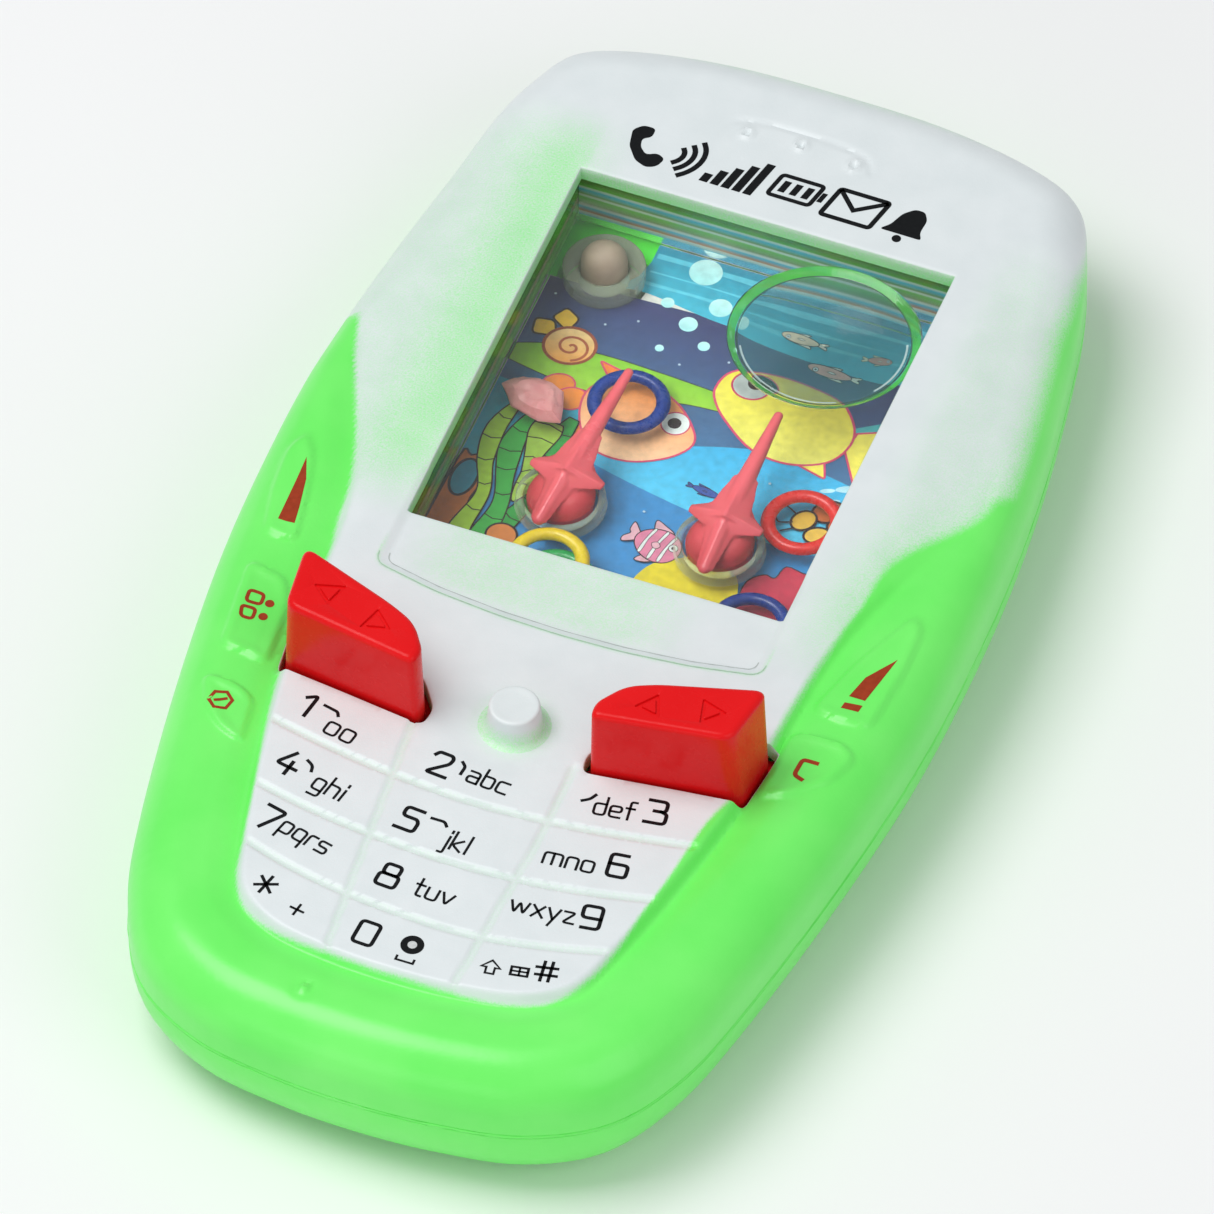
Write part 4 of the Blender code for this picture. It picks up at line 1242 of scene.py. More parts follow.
def panel_shade_lines():
    """Thin lines on the crisp corners of the step round the display panel: a grey line of painted shade along
    the foot of its slope, and a pale green line along its outer edge, where the paint is thin, which is also
    painted shade.
    """
    open_run = [p for p in DISPLAY_LINE if p[1] < 3.5]
    inner = pulled_in([Vector(p) for p in DISPLAY_PANEL], Vector((0, 0)), PANEL_SLOPE)
    inner_run = [p for p in rounded(inner, 0.9) if p[1] < 3.0]
    sheet = Sheet()
    # A grey line of painted shade, and a green line that is thin paint and painted shade at once.
    painted_shade_grey, thin_paint_and_shade_green = (0.50, 0.55, 0.53), (0.45, 0.66, 0.48)
    sheet.stroke(inner_run, 0.10, painted_shade_grey)
    sheet.stroke(open_run, 0.10, thin_paint_and_shade_green)
    sheet.mesh("panel_shade_lines", wing_ink, lambda x, y: on_face(x, y, 0.035), longest=0.35)


key_print()
title_print()
wing_print()
panel_shade_lines()

# ---------------------------------------------------------------- the tank

TANK_WALL = 1.2
TANK_RIM = 0.9
PUMP_X = 21.0
PUMP_Y = (-26.4, -10.2)
PUMP_AT = (15.4, -19.3)
BUBBLE_AT = (8.7, 32.7)
BUBBLE_HALF = (8.6, 8.2)
BUBBLE_DEPTH = 4.0
CARD_Z = 4.6
WATER_Z = (4.68, 13.58)
BOSS_X = 7.5
BOSS_Y = 10.1


def box_into(bm, low, high):
    """A box between two opposite corners."""
    size, middle = Vector(high) - Vector(low), (Vector(high) + Vector(low)) / 2
    made = bmesh.ops.create_cube(bm, size=1, matrix=Matrix.Translation(middle) @ Matrix.Diagonal((*size, 1)))
    return made["verts"]


def tank_floor():
    """The clear back plate and the part of it under the pumps, with the bosses, sumps and neck on it."""
    bm = bmesh.new()
    reach_x, low_y = TANK_X + TANK_WALL + TANK_RIM, TANK_Y[0] - TANK_WALL
    high_y = TANK_Y[1] + TANK_WALL + TANK_RIM
    box_into(bm, (-reach_x, low_y, TANK_Z[0] - TANK_WALL), (reach_x, high_y, TANK_Z[0]))
    foot_x = PUMP_X + TANK_WALL
    box_into(bm, (-foot_x, PUMP_Y[0] - TANK_WALL, TANK_Z[0] - TANK_WALL), (foot_x, low_y - 0.05, TANK_Z[0]))
    bmesh.ops.bevel(
        bm, geom=list(bm.edges), offset=0.2, segments=2, profile=0.5, affect="EDGES", clamp_overlap=True
    )
    plate = from_bmesh("tank_back_plate", bm, clear_back, sharp=35)
    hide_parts("tank_back")
    for label, side in SIDES.items():
        boss = [(3.3, 6.3), (3.33, 7.7)] + arc_profile((3.66, 7.72), 0.34, 160, 10, 6)
        boss += [(4.02, 7.2), (4.05, 6.4), (4.12, 6.16)]
        made = lathe(f"peg_boss_{label}", boss, (side * BOSS_X, BOSS_Y), milky, steps=56)
        sump = [(0, 2.4), (5.4, 2.4), (5.6, 2.6), (5.6, 4.88), (4.6, 4.88), (4.6, 3.4), (0, 3.4)]
        made = lathe(f"pump_sump_{label}", sump, (side * PUMP_AT[0], PUMP_AT[1]), clear_back, steps=56)
    neck = [(2.3, 2.9), (3.6, 2.9), (3.7, 3.0), (3.7, 6.6)] + arc_profile((3.4, 6.98), 0.32, 0, 90, 5)
    neck += [(2.6, 7.3), (2.3, 7.0), (2.3, 2.9)]
    made = lathe("filler_neck", neck, PLUG_AT, milky, steps=56)


def bubble_depth(share):
    """How deep the air bubble is at a share of the way from its middle to its rim."""
    return BUBBLE_DEPTH * (1 - np.clip(share, 0, 1) ** 2.3) ** 0.56


def water_fill():
    """The water: an air bubble presses a bowl into its top, and two thin pools lie by the pumps."""
    bm = bmesh.new()
    half_x, low_y, high_y = TANK_X - 0.02, TANK_Y[0] + 0.02, TANK_Y[1] - 0.02
    low, high = WATER_Z
    cx, cy = BUBBLE_AT
    corners = [(half_x, low_y), (half_x, high_y), (-half_x, high_y), (-half_x, low_y)]
    angles = [math.atan2(y - cy, x - cx) % math.tau for x, y in corners]
    angles = sorted(set(angles) | {math.tau * i / 120 for i in range(120)})
    angles = [a for i, a in enumerate(angles) if i == 0 or a - angles[i - 1] > 1e-6]

    def on_side(angle):
        c, s = math.cos(angle), math.sin(angle)
        reach = min(
            ((half_x if c > 0 else -half_x) - cx) / c if abs(c) > 1e-9 else FAR,
            ((high_y if s > 0 else low_y) - cy) / s if abs(s) > 1e-9 else FAR,
        )
        return cx + c * reach, cy + s * reach

    def on_bubble(angle, share):
        wobble = 1 + 0.012 * math.sin(2 * angle + 0.6) + 0.008 * math.sin(3 * angle)
        x = cx + BUBBLE_HALF[0] * share * wobble * math.cos(angle)
        y = cy + BUBBLE_HALF[1] * share * wobble * math.sin(angle)
        return x, y, high - float(bubble_depth(share))

    side_top = [bm.verts.new((*on_side(a), high)) for a in angles]
    side_low = [bm.verts.new((*on_side(a), low)) for a in angles]
    shares = [math.sin(math.radians(90 * (1 - i / 26))) for i in range(26)]
    bowl = [[bm.verts.new(on_bubble(a, share)) for a in angles] for share in shares]
    for upper, lower in [(side_top, side_low), (bowl[0], side_top)] + list(zip(bowl[1:], bowl)):
        skin(bm, upper, lower)
    bm.faces.new(bowl[-1])
    bm.faces.new(side_low)
    foot_y = TANK_Y[0] - TANK_WALL
    for side in (-1, 1):
        xs = sorted((side * 0.75, side * (PUMP_X - 0.15)))
        box_into(bm, (xs[0], PUMP_Y[0] + 0.15, 6.3), (xs[1], foot_y - 0.15, 6.95))
    bmesh.ops.recalc_face_normals(bm, faces=bm.faces)
    made = from_bmesh("water_fill", bm, water_clear, sharp=30)
    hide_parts("water")


def banded(name, bands, alpha):
    """Painted reflection streaks along a clear wall of the tank: each band is a share of the height and its
    colour.
    """
    made, tree = new_material(name)
    drift = centred(tree, grain(tree, 9.0), 0.05)
    ramp = node(tree, "ShaderNodeValToRGB", {"Fac": maths(tree, "ADD", height_in(tree, *TANK_Z), drift)})
    stops = ramp.color_ramp.elements
    while len(stops) < len(bands):
        stops.new(0.5)
    for stop, (at, colour) in zip(stops, bands):
        stop.position = at
        stop.color = (*colour, 1)
    return principled(made, tree, {"Base Color": ramp.outputs["Color"], "Roughness": 0.2, "Alpha": alpha})


def painted_wall_reflections():
    """Sheets on the inner faces of the far and the left wall, coloured with painted reflections of the case
    and the picture in streaks.
    """
    # Colours of the painted reflections: the case's greens, pale glints, and the picture's cyan and brown.
    green, olive, pale = (0.13, 0.52, 0.05), (0.17, 0.33, 0.08), (0.66, 0.78, 0.66)
    cyan, reflected_brown = (0.05, 0.52, 0.66), (0.50, 0.22, 0.07)
    far = banded(
        "painted_reflection_far_wall",
        ((0.0, cyan), (0.10, pale), (0.14, reflected_brown), (0.24, cyan), (0.30, pale), (0.36, olive), (0.50, green),
         (0.56, pale), (0.60, olive), (0.72, cyan), (0.78, pale), (0.82, green), (0.94, olive), (1.0, green)),
        0.88,
    )
    near = banded(
        "painted_reflection_side_wall",
        ((0.0, olive), (0.18, green), (0.30, olive), (0.42, (0.36, 0.28, 0.22)), (0.52, olive), (0.66, green),
         (0.76, olive), (0.90, green), (1.0, pale)),
        0.9,
    )
    low, high = TANK_Z[0] + 0.1, TANK_Z[1] - 0.1
    for name, corner, opposite, material in (
        ("painted_reflection_far", (-18.2, 42.16, low), (18.2, 42.22, high), far),
        ("painted_reflection_left", (-18.3, -8.8, low), (-18.24, 42.1, high), near),
    ):
        bm = bmesh.new()
        box_into(bm, corner, opposite)
        from_bmesh(name, bm, material)


def bubble_painted_light():
    """Painted light round the air bubble, where its edge meets the window: a painted green ring for the
    case's green that the bubble's edge bends, painted dark lines, painted glints, and painted teal shade
    inside the bubble.
    """
    edge = {"roughness": (0.08, 0.14), "lump": 5.0}
    green = plastic("painted_bubble_refraction_green", (0.02, 0.26, 0.02), (0.05, 0.50, 0.04), **edge, Alpha=0.75)
    painted_dark = plastic("painted_bubble_dark_line", (0.01, 0.06, 0.03), (0.02, 0.10, 0.06), **edge, Alpha=0.8)
    pale = plastic("painted_bubble_glint", (0.86, 0.95, 0.90), (0.92, 0.98, 0.95), **edge, Alpha=0.75)
    painted_teal_shade = plastic("painted_bubble_shade", (0.02, 0.16, 0.18), (0.03, 0.22, 0.24), **edge, Alpha=0.3)
    # Each band: label, material, outer share, inner share by angle, and the span of angles; the shade band is
    # painted shade and the glint bands are painted highlights.
    bands = (
        ("shade", painted_teal_shade, 0.89, lambda a: 0.02, (0, math.tau)),
        ("green", green, 1.0, lambda a: 0.92 - 0.015 * math.sin(a), (0, math.tau)),
        ("line", painted_dark, 0.918, lambda a: 0.895, (0, math.tau)),
        ("outline", painted_dark, 1.012, lambda a: 1.0, (2.6, 5.4)),
        ("glint_low", pale, 0.885, lambda a: 0.865, (3.6, 5.2)),
        ("glint_high", pale, 0.965, lambda a: 0.950, (0.9, 2.6)),
        ("glint_side", pale, 0.872, lambda a: 0.850, (5.7, 6.6)),
    )
    z = WATER_Z[1] - 0.06
    steps = 96
    for label, material, outer, inner, (start, end) in bands:
        verts, faces = [], []
        for i in range(steps + 1):
            a = start + (end - start) * i / steps
            c, d = math.cos(a), math.sin(a)
            for share in (outer, inner(a)):
                x, y = BUBBLE_AT[0] + BUBBLE_HALF[0] * share * c, BUBBLE_AT[1] + BUBBLE_HALF[1] * share * d
                verts.append((x, y, z - 0.25 * float(bubble_depth(min(share, 1.0)))))
            if i:
                faces.append((2 * i - 2, 2 * i - 1, 2 * i + 1, 2 * i))
        piece(f"painted_bubble_light_{label}", verts, faces, material)


tank_floor()
water_fill()
painted_wall_reflections()
bubble_painted_light()
repaint("tank_front", clear_front)

# ---------------------------------------------------------------- the picture behind the water

INK_LINE = (0.03, 0.012, 0.012)
PINK_LINE = (0.62, 0.05, 0.14)
WHITE = (0.80, 0.84, 0.82)
NAVY = (0.036, 0.034, 0.125)
LIGHT_BLUE = (0.030, 0.37, 0.66)
MID_BLUE = (0.030, 0.22, 0.50)
TEAL = (0.012, 0.30, 0.42)
LEAF = (0.035, 0.36, 0.055)
ORANGE = (0.80, 0.20, 0.025)


class Picture(Sheet):
    """A sheet whose shapes are laid one over another, each a hair above the last."""

    step = 0.0016

    def __init__(self):
        super().__init__()
        self.top = self.step

    def lay(self, outline, colour, line=None, width=0.22, shade=None):
        """A filled shape, darker or lighter towards its foot if shade is given, with its outline."""
        self.top += self.step
        start = len(self.colours)
        self.fill(outline, colour, self.top)
        if shade is not None:
            ys = [p[1] for p in outline]
            low, high = min(ys), max(ys)
            for i, y in enumerate(ys):
                t = (y - low) / (high - low)
                self.colours[start + i] = tuple(f + (c - f) * t for c, f in zip(colour, shade))
        if line is not None:
            self.top += self.step
            self.stroke(outline, width, line, self.top, closed=True)

    def draw(self, line, width, colour):
        self.top += self.step
        self.stroke(line, width, colour, self.top)


def curvy(points, per_span=5):
    """A closed outline that curves through the points."""
    return [tuple(p) for p in smooth(points, per_span)]


def wave(points, per_span=6):
    """An open line that curves through the points."""
    return [tuple(p) for p in smooth(points, per_span, closed=False)]


def leaf(picture, spine, width, colour, tip):
    """A wavy weed leaf in segments, which narrows along its spine."""
    line = np.array(wave(spine, 7))
    count = len(line)
    along = np.gradient(line, axis=0)
    along /= np.hypot(along[:, 0], along[:, 1])[:, None]
    across = np.stack([-along[:, 1], along[:, 0]], 1)
    share = np.linspace(0, 1, count)
    half = width / 2 * (0.75 + 0.25 * np.sin(share * 9)) * (1 - (1 - tip) * share**4)
    left, right = line + across * half[:, None], line - across * half[:, None]
    outline = [tuple(p) for p in left] + [tuple(p) for p in right[::-1]]
    picture.lay(outline, colour, INK_LINE, 0.14)
    for i in range(3, count - 2, 5):
        middle = (left[i] + right[i]) / 2 - along[i] * 0.25
        picture.draw((tuple(left[i]), tuple(middle), tuple(right[i])), 0.12, INK_LINE)


def fish(picture, at, length, height, turn, body, fins, line, stripes=(), eye=0.0):
    """A plain picture-book fish: tail to the left and nose to the right before it is turned."""

    def put(points):
        return turned([(x * length / 2, y * height / 2) for x, y in points], at, turn)

    tail = (
        (-0.78, 0.06), (-1.05, 0.34), (-1.42, 0.62), (-1.40, 0.16), (-1.28, -0.02), (-1.46, -0.36),
        (-1.36, -0.62), (-1.02, -0.36), (-0.80, -0.10),
    )
    crest = ((-0.45, 0.62), (-0.72, 1.22), (-0.18, 1.12), (0.22, 0.98), (0.2, 0.7))
    keel = ((-0.2, -0.75), (-0.42, -1.22), (0.02, -1.12), (0.25, -0.8))
    for fin in (tail, crest, keel):
        picture.lay(curvy(put(fin), 4), fins, line, length * 0.022)
    angles = np.linspace(0, math.tau, 40, endpoint=False)
    body_line = [(math.cos(a), math.sin(a) * (0.92 + 0.10 * math.cos(a))) for a in angles]
    picture.lay(put(body_line), body, line, length * 0.024)
    for x in stripes:
        top = 0.86 * math.sqrt(1 - x * x)
        stripe = (
            (x - 0.05, top), (x + 0.08, top * 0.95), (x + 0.02, 0.1), (x + 0.09, -top * 0.9),
            (x - 0.05, -top * 0.95), (x - 0.10, 0.0),
        )
        picture.lay(curvy(put(stripe), 3), WHITE, line, length * 0.012)
    flipper = ((0.12, 0.02), (-0.08, 0.16), (-0.26, -0.02), (-0.10, -0.22), (0.08, -0.16))
    picture.lay(curvy(put(flipper), 3), fins, line, length * 0.014)
    if eye:
        spot = put(((0.62, 0.22),))[0]
        picture.lay(oval(spot, eye), WHITE, line, length * 0.016)
        picture.lay(oval(spot, eye * 0.42, steps=16), INK_LINE)


def spiral_shell(picture, at, radius):
    """A round shell with a coil drawn on it and two petals behind it."""
    petal = ((0, 0.7), (0.55, 1.25), (0.15, 1.9), (-0.5, 1.5))
    for turn in (28, 68):
        outline = turned([(x * radius, y * radius) for x, y in petal], at, turn)
        picture.lay(rounded(outline, 0.5), (0.85, 0.52, 0.03), INK_LINE, 0.2)
    round_shell = oval(at, radius, 0.9, 12)
    picture.lay(round_shell, (0.84, 0.60, 0.26), (0.30, 0.06, 0.02), 0.30, shade=(0.80, 0.33, 0.05))
    coil = []
    steps = 44
    for i in range(steps):
        t = i / (steps - 1)
        angle, reach = -1.2 + 9.5 * t, radius * (0.74 - 0.66 * t)
        coil.append((at[0] + 0.15 + reach * math.cos(angle), at[1] - 0.1 + reach * math.sin(angle) * 0.9))
    picture.draw(coil, 0.26, (0.42, 0.09, 0.03))


def backdrop(picture):
    """Bands of sea, hill and sky across the card, round the plug's notch."""
    notch = [(-10.45, 42.15), (-10.45, 40.0), (-10.9, 38.1), (-12.2, 36.3)]
    near_sea = [(-18.25, -8.3), (18.25, -8.3), (18.25, 21), (-18.25, 21)]
    picture.lay(near_sea, MID_BLUE, shade=(0.035, 0.20, 0.46))
    far_sea = [(-18.25, 20.9), (18.25, 20.9), (18.25, 36), (0, 36), (-14.0, 35.45), (-18.25, 35.35)]
    picture.lay(far_sea, NAVY, shade=(0.05, 0.15, 0.30))
    edge = ((-12.6, 36.0), (-9.6, 36.5), (-3, 35.6), (2, 35.4), (8, 35.2), (14, 34.6), (18.25, 34.2))
    picture.lay(notch + wave(edge) + [(18.25, 42.15)], (0.020, 0.27, 0.40), shade=(0.06, 0.46, 0.62))
    for low, high in ((40.6, 41.3), (38.9, 39.2), (37.4, 37.9)):
        streak = wave(((-10.2, low), (-4, low + 0.1), (4, low - 0.2), (12, low + 0.1), (18.2, low)))
        picture.lay(streak + [(18.2, high - 0.2), (4, high), (-10.2, high - 0.1)], (0.11, 0.52, 0.66))
    hill = ((-18.25, 27.0), (-15.2, 28.0), (-10.3, 28.4), (-6, 28.3), (-2.4, 28.1), (1.5, 27.8), (6, 27.2))
    foot = ((6, 26.0), (1.5, 25.9), (-2.4, 25.5), (-7, 24.1), (-11.5, 24.0), (-15, 24.4), (-18.25, 25.0))
    picture.lay(wave(hill) + wave(foot), (0.22, 0.52, 0.02), INK_LINE, 0.1, shade=(0.33, 0.60, 0.04))
    picture.lay([(-18.2, 24.8), (-15, 24.3), (-10.6, 23.8), (-9.5, 22.4), (-18.2, 22.7)], (0.035, 0.11, 0.22))
    cove = [(-18.25, 22.8), (-9.6, 22.5), (-10.5, 17), (-14, 12), (-18.25, 11.5)]
    picture.lay(cove, TEAL, shade=(0.05, 0.42, 0.55))
    bay = ((-9.0, 19.5), (-3, 19.9), (0.3, 21.2), (4.2, 22.5), (8, 23.2), (13, 22.4), (18.25, 21.4))
    shore = ((18.25, 13.8), (13, 13.2), (8.5, 13.5), (2, 14.4), (-4, 15.6), (-8.8, 16.8))
    picture.lay(wave(bay) + wave(shore), LIGHT_BLUE, shade=(0.085, 0.50, 0.74))
    for x, y, r in ((15.2, 21.6, 1.1), (13.6, 20.8, 0.7), (14.6, 19.9, 0.5), (16.4, 20.4, 0.6)):
        picture.lay(oval((x, y), r, 0.35, 24), (0.42, 0.68, 0.78))
    picture.lay([(13.0, 28.2), (15.4, 29.8), (18.25, 30.8), (18.25, 28.6), (14.8, 27.4)], (0.06, 0.40, 0.42))


def far_life(picture):
    """Bubbles, the round shell, the two big fish, and the small ones in the distance."""
    for at, r in (
        ((-5.5, 40.6), 1.5), ((-2.8, 37.2), 1.05), ((-7.4, 36.1), 0.6), ((-4.8, 34.4), 0.85),
        ((-2.6, 32.5), 0.55), ((-6.2, 30.9), 0.4),
    ):
        picture.lay(oval(at, r), (0.52, 0.80, 0.78), shade=(0.36, 0.72, 0.74))
    yellow_tail = [(13.4, 25.6), (13.7, 27.9), (18.25, 30.0), (18.25, 19.8), (15.6, 22.0)]
    picture.lay(yellow_tail, (0.80, 0.70, 0.10), PINK_LINE, 0.2)
    spiral_shell(picture, (-13.7, 28.3), 2.35)
    for side in ((-13.0, 23.7), (-11.4, 22.6)):
        picture.lay(oval(side, 1.5, 0.85, 30), (0.80, 0.24, 0.03), PINK_LINE, 0.16)
    orange_crest = ((-10.6, 27.7), (-7.4, 27.0), (-8.0, 24.8))
    orange_keel = ((-11.4, 19.0), (-8.6, 20.6), (-7.6, 18.6), (-10.4, 17.4))
    for fin in (orange_crest, orange_keel):
        picture.lay(rounded(fin, 0.5), ORANGE, PINK_LINE, 0.18)
    orange_body = (
        (-10.4, 23.8), (-8.8, 26.0), (-5.8, 26.7), (-2.6, 25.6), (-0.2, 23.4), (0.6, 21.4),
        (-1.0, 19.2), (-4.2, 17.6), (-7.6, 17.9), (-9.8, 20.6),
    )
    picture.lay(curvy(orange_body), (0.84, 0.25, 0.035), PINK_LINE, 0.2, shade=(0.88, 0.56, 0.34))
    picture.lay(oval((-1.7, 23.2), 1.3), WHITE, PINK_LINE, 0.14)
    picture.lay(oval((-1.8, 23.2), 0.62, steps=18), INK_LINE)
    yellow_keel = ((7.0, 23.4), (12.9, 21.9), (11.9, 24.4), (8.0, 25.0))
    picture.lay(rounded(yellow_keel, 0.4), (0.85, 0.74, 0.10), PINK_LINE, 0.2)
    yellow_body = (
        (0.1, 28.4), (0.8, 30.6), (3.6, 32.0), (7.0, 32.2), (10.6, 31.2), (13.0, 28.8),
        (13.6, 26.4), (12.4, 23.8), (9.2, 22.4), (5.6, 22.8), (2.4, 25.0), (0.7, 26.8),
    )
    picture.lay(curvy(yellow_body), (0.80, 0.68, 0.03), PINK_LINE, 0.22, shade=(0.74, 0.68, 0.14))
    picture.lay(oval((3.0, 29.7), 1.75, 0.9), WHITE, PINK_LINE, 0.18)
    picture.lay(oval((3.3, 30.1), 0.75, steps=18), INK_LINE)
    fish(picture, (3.6, 16.8), 2.6, 0.9, -8, (0.05, 0.10, 0.40), (0.05, 0.08, 0.30), INK_LINE)
    fish(picture, (12.9, 37.6), 2.8, 1.1, 6, (0.72, 0.30, 0.22), (0.85, 0.75, 0.5), INK_LINE, eye=0.22)
    fish(picture, (4.4, 37.6), 4.0, 1.3, 178, (0.80, 0.62, 0.42), (0.86, 0.80, 0.66), INK_LINE, eye=0.26)
    fish(picture, (8.6, 34.6), 4.6, 1.4, 176, (0.78, 0.42, 0.34), (0.86, 0.80, 0.66), INK_LINE, eye=0.28)


def weed_bed(picture):
    """The rock and the weed along the left side."""
    rock = (
        (-18.2, 12.4), (-17.2, 13.3), (-15.8, 13.8), (-15.6, 12.9), (-15.3, 10.4), (-15.5, 8.2),
        (-14.6, 6.6), (-15.0, 3), (-16, -2), (-18.2, -4),
    )
    picture.lay(curvy(rock, 4), (0.62, 0.17, 0.03), INK_LINE, 0.2)
    picture.lay(oval((-16.9, 10.7), 1.15, 1.9), (0.04, 0.30, 0.45), INK_LINE, 0.26)
    # Each leaf's spine, width, colour, and the share of its width left at the tip.
    leaves = (
        (((-12.6, -4), (-12.2, 2), (-12.0, 6), (-10.8, 9.4), (-10.4, 13), (-10.8, 16.8), (-10.2, 20.4)),
         3.2, LEAF, 0.35),
        (((-14.0, -5), (-13.4, 0), (-13.0, 5), (-12.8, 9), (-13.8, 13), (-14.3, 16), (-13.9, 19.4)),
         3.1, (0.06, 0.50, 0.07), 0.35),
        (((-15.6, -5), (-15.2, 0), (-15.2, 5), (-14.7, 9.6), (-15.9, 13.4), (-16.3, 17), (-15.6, 20.2)),
         2.6, (0.46, 0.72, 0.05), 0.35),
        (((-11.9, 19.4), (-12.1, 17.4), (-12.0, 14.4), (-11.5, 12.4), (-11.9, 9.6)),
         2.9, (0.40, 0.62, 0.07), 0.1),
    )
    for spine, width, colour, tip in leaves:
        leaf(picture, spine, width, colour, tip)
    picture.lay(oval((-11.4, 5.6), 1.4, 0.95), (0.76, 0.24, 0.05), INK_LINE, 0.2)


def near_floor(picture):
    """Sand, coral, the striped fish and the shells along the lower edge, and specks in the water."""
    sand = (
        (1.2, 3.0), (1.9, 6.8), (4.2, 8.7), (6.6, 9.9), (8.8, 9.4), (
            10.4, 7.0,
        ), (10.8, 2.0), (8, -3), (3, -3),
    )
    picture.lay(curvy(sand), (0.86, 0.70, 0.02), shade=(0.70, 0.55, 0.02))
    coral = (
        (10.6, 7.6), (11.8, 9.6), (12.9, 9.6), (13.4, 11.2), (15.4, 11.0), (16.6, 12.0), (18.2, 11.6),
        (18.2, 2), (12.0, 2),
    )
    picture.lay(curvy(coral, 4), (0.66, 0.045, 0.085), INK_LINE, 0.12, shade=(0.42, 0.02, 0.06))
    fish(
        picture, (1.9, 9.4), 4.4, 4.0, -12, (0.78, 0.24, 0.38), (0.80, 0.45, 0.52), INK_LINE,
        stripes=(-0.5, 0.0, 0.42), eye=0.42,
    )
    for at, r, squash, turn, colour in (
        ((14.6, 18.4), 1.5, 0.8, 40, (0.60, 0.15, 0.03)), ((12.9, 16.7), 1.25, 0.8, 60, (0.82, 0.50, 0.06)),
        ((14.6, 15.5), 1.2, 0.75, 30, (0.86, 0.55, 0.08)), ((16.3, 16.9), 1.3, 0.8, -20, (0.66, 0.20, 0.03)),
    ):
        picture.lay(oval(at, r, squash, turn), colour, INK_LINE, 0.22)
    for line in (
        ((12.0, 17.2), (10.8, 17.8), (10.2, 17.4)), ((12.0, 16.2), (10.9, 15.8), (10.4, 16.3)),
        ((12.4, 15.6), (11.4, 14.9)),
    ):
        picture.draw(wave(line), 0.16, INK_LINE)
    for x, y in (
        (-9, 33), (-11.6, 31.6), (0.2, 31.4), (-3.8, 29.6), (16.4, 33), (-0.6, 12.6), (-7.6, 12),
        (8.6, 19.6), (-17, 33.4),
    ):
        picture.lay(oval((x, y), 0.13, steps=8), (0.5, 0.62, 0.70))


def picture_print():
    """The sea picture printed on the card."""
    picture = Picture()
    for part in (backdrop, far_life, weed_bed, near_floor):
        part(picture)
    made = picture.mesh("picture_print", card_ink, lambda x, y: np.full(np.shape(x), CARD_Z))


def white_paper():
    """The card itself: off-white board with a faint fibre."""
    made, tree = new_material("picture_card_paper")
    fibre = grain(tree, 0.35, 4.0)
    inputs = {
        "Base Color": tint(tree, spread(tree, fibre, *NOISE_SPAN), (0.62, 0.60, 0.55), (0.74, 0.72, 0.67)),
        "Roughness": spread(tree, fibre, *NOISE_SPAN, 0.6, 0.75),
        "Normal": bumped(tree, fibre, 0.02),
    }
    return principled(made, tree, inputs)


picture_print()
repaint("picture_card", white_paper())

# ---------------------------------------------------------------- what stands and lies in the tank

PEG_X = 7.5
PEG_Y = 11.7
PEG_Z = 10.3
PEG_FOOT = 3.05
PEG_FOOT_Z = (6.5, 8.0)
PEG_BODY = (3.05, 3.1, 2.35)
PEG_BODY_Z = 7.7
PEG_VOXEL = 0.12
SPIKE = 12.3
PEG_LEAN = {"left": 0.085, "right": 0.015}
PEG_TAIL = {"left": -0.6, "right": 0.1}
RING_MAJOR = 3.08
RING_MINOR = 0.68
RING_LINE = 0.035
GATE_ANGLE = 0.9
SHELL_AT = (-13.9, 20.2)


def limb(bm, start, end, radius, end_radius, sides, flatten=1.0, up=Vector((0, 0, 1))):
    """A tapering limb; with four sides it has ridges along its top, bottom and edges."""
    start, end = Vector(start), Vector(end)
    along = (end - start).normalized()
    side = along.cross(up).normalized()
    top = side.cross(along)
    rings = []
    for at, size in ((start, radius), (end, end_radius)):
        ring = []
        for i in range(sides):
            a = math.tau * i / sides + math.pi / 2
            ring.append(bm.verts.new(at + side * size * math.cos(a) + top * size * flatten * math.sin(a)))
        rings.append(ring)
    skin(bm, *rings)
    bm.faces.new(rings[0][::-1])
    bm.faces.new(rings[1])


def ball_into(bm, centre, radii):
    """A ball stretched to three radii."""
    for vert in bmesh.ops.create_icosphere(bm, subdivisions=4, radius=1)["verts"]:
        vert.co = Vector(centre) + Vector([place * radius for place, radius in zip(vert.co, radii)])


def star_into(bm, hub, tips, valleys, height, under):
    """A pointed star: a ridge runs along every arm, and the faces fall away to valleys between."""
    crown, keel = bm.verts.new(hub + Vector((0, 0, height))), bm.verts.new(hub - Vector((0, 0, under)))
    ends = [bm.verts.new(hub + Vector(tip)) for tip in tips]
    dips = []
    for tip, after, reach in zip(tips, tips[1:] + tips[:1], valleys):
        way = Vector((tip[0], tip[1], 0)).normalized() + Vector((after[0], after[1], 0)).normalized()
        dips.append(bm.verts.new(hub + way.normalized() * reach + Vector((0, 0, -0.45))))
    for i, end in enumerate(ends):
        for top in (crown, keel):
            bm.faces.new((top, end, dips[i]))
            bm.faces.new((top, dips[i - 1], end))


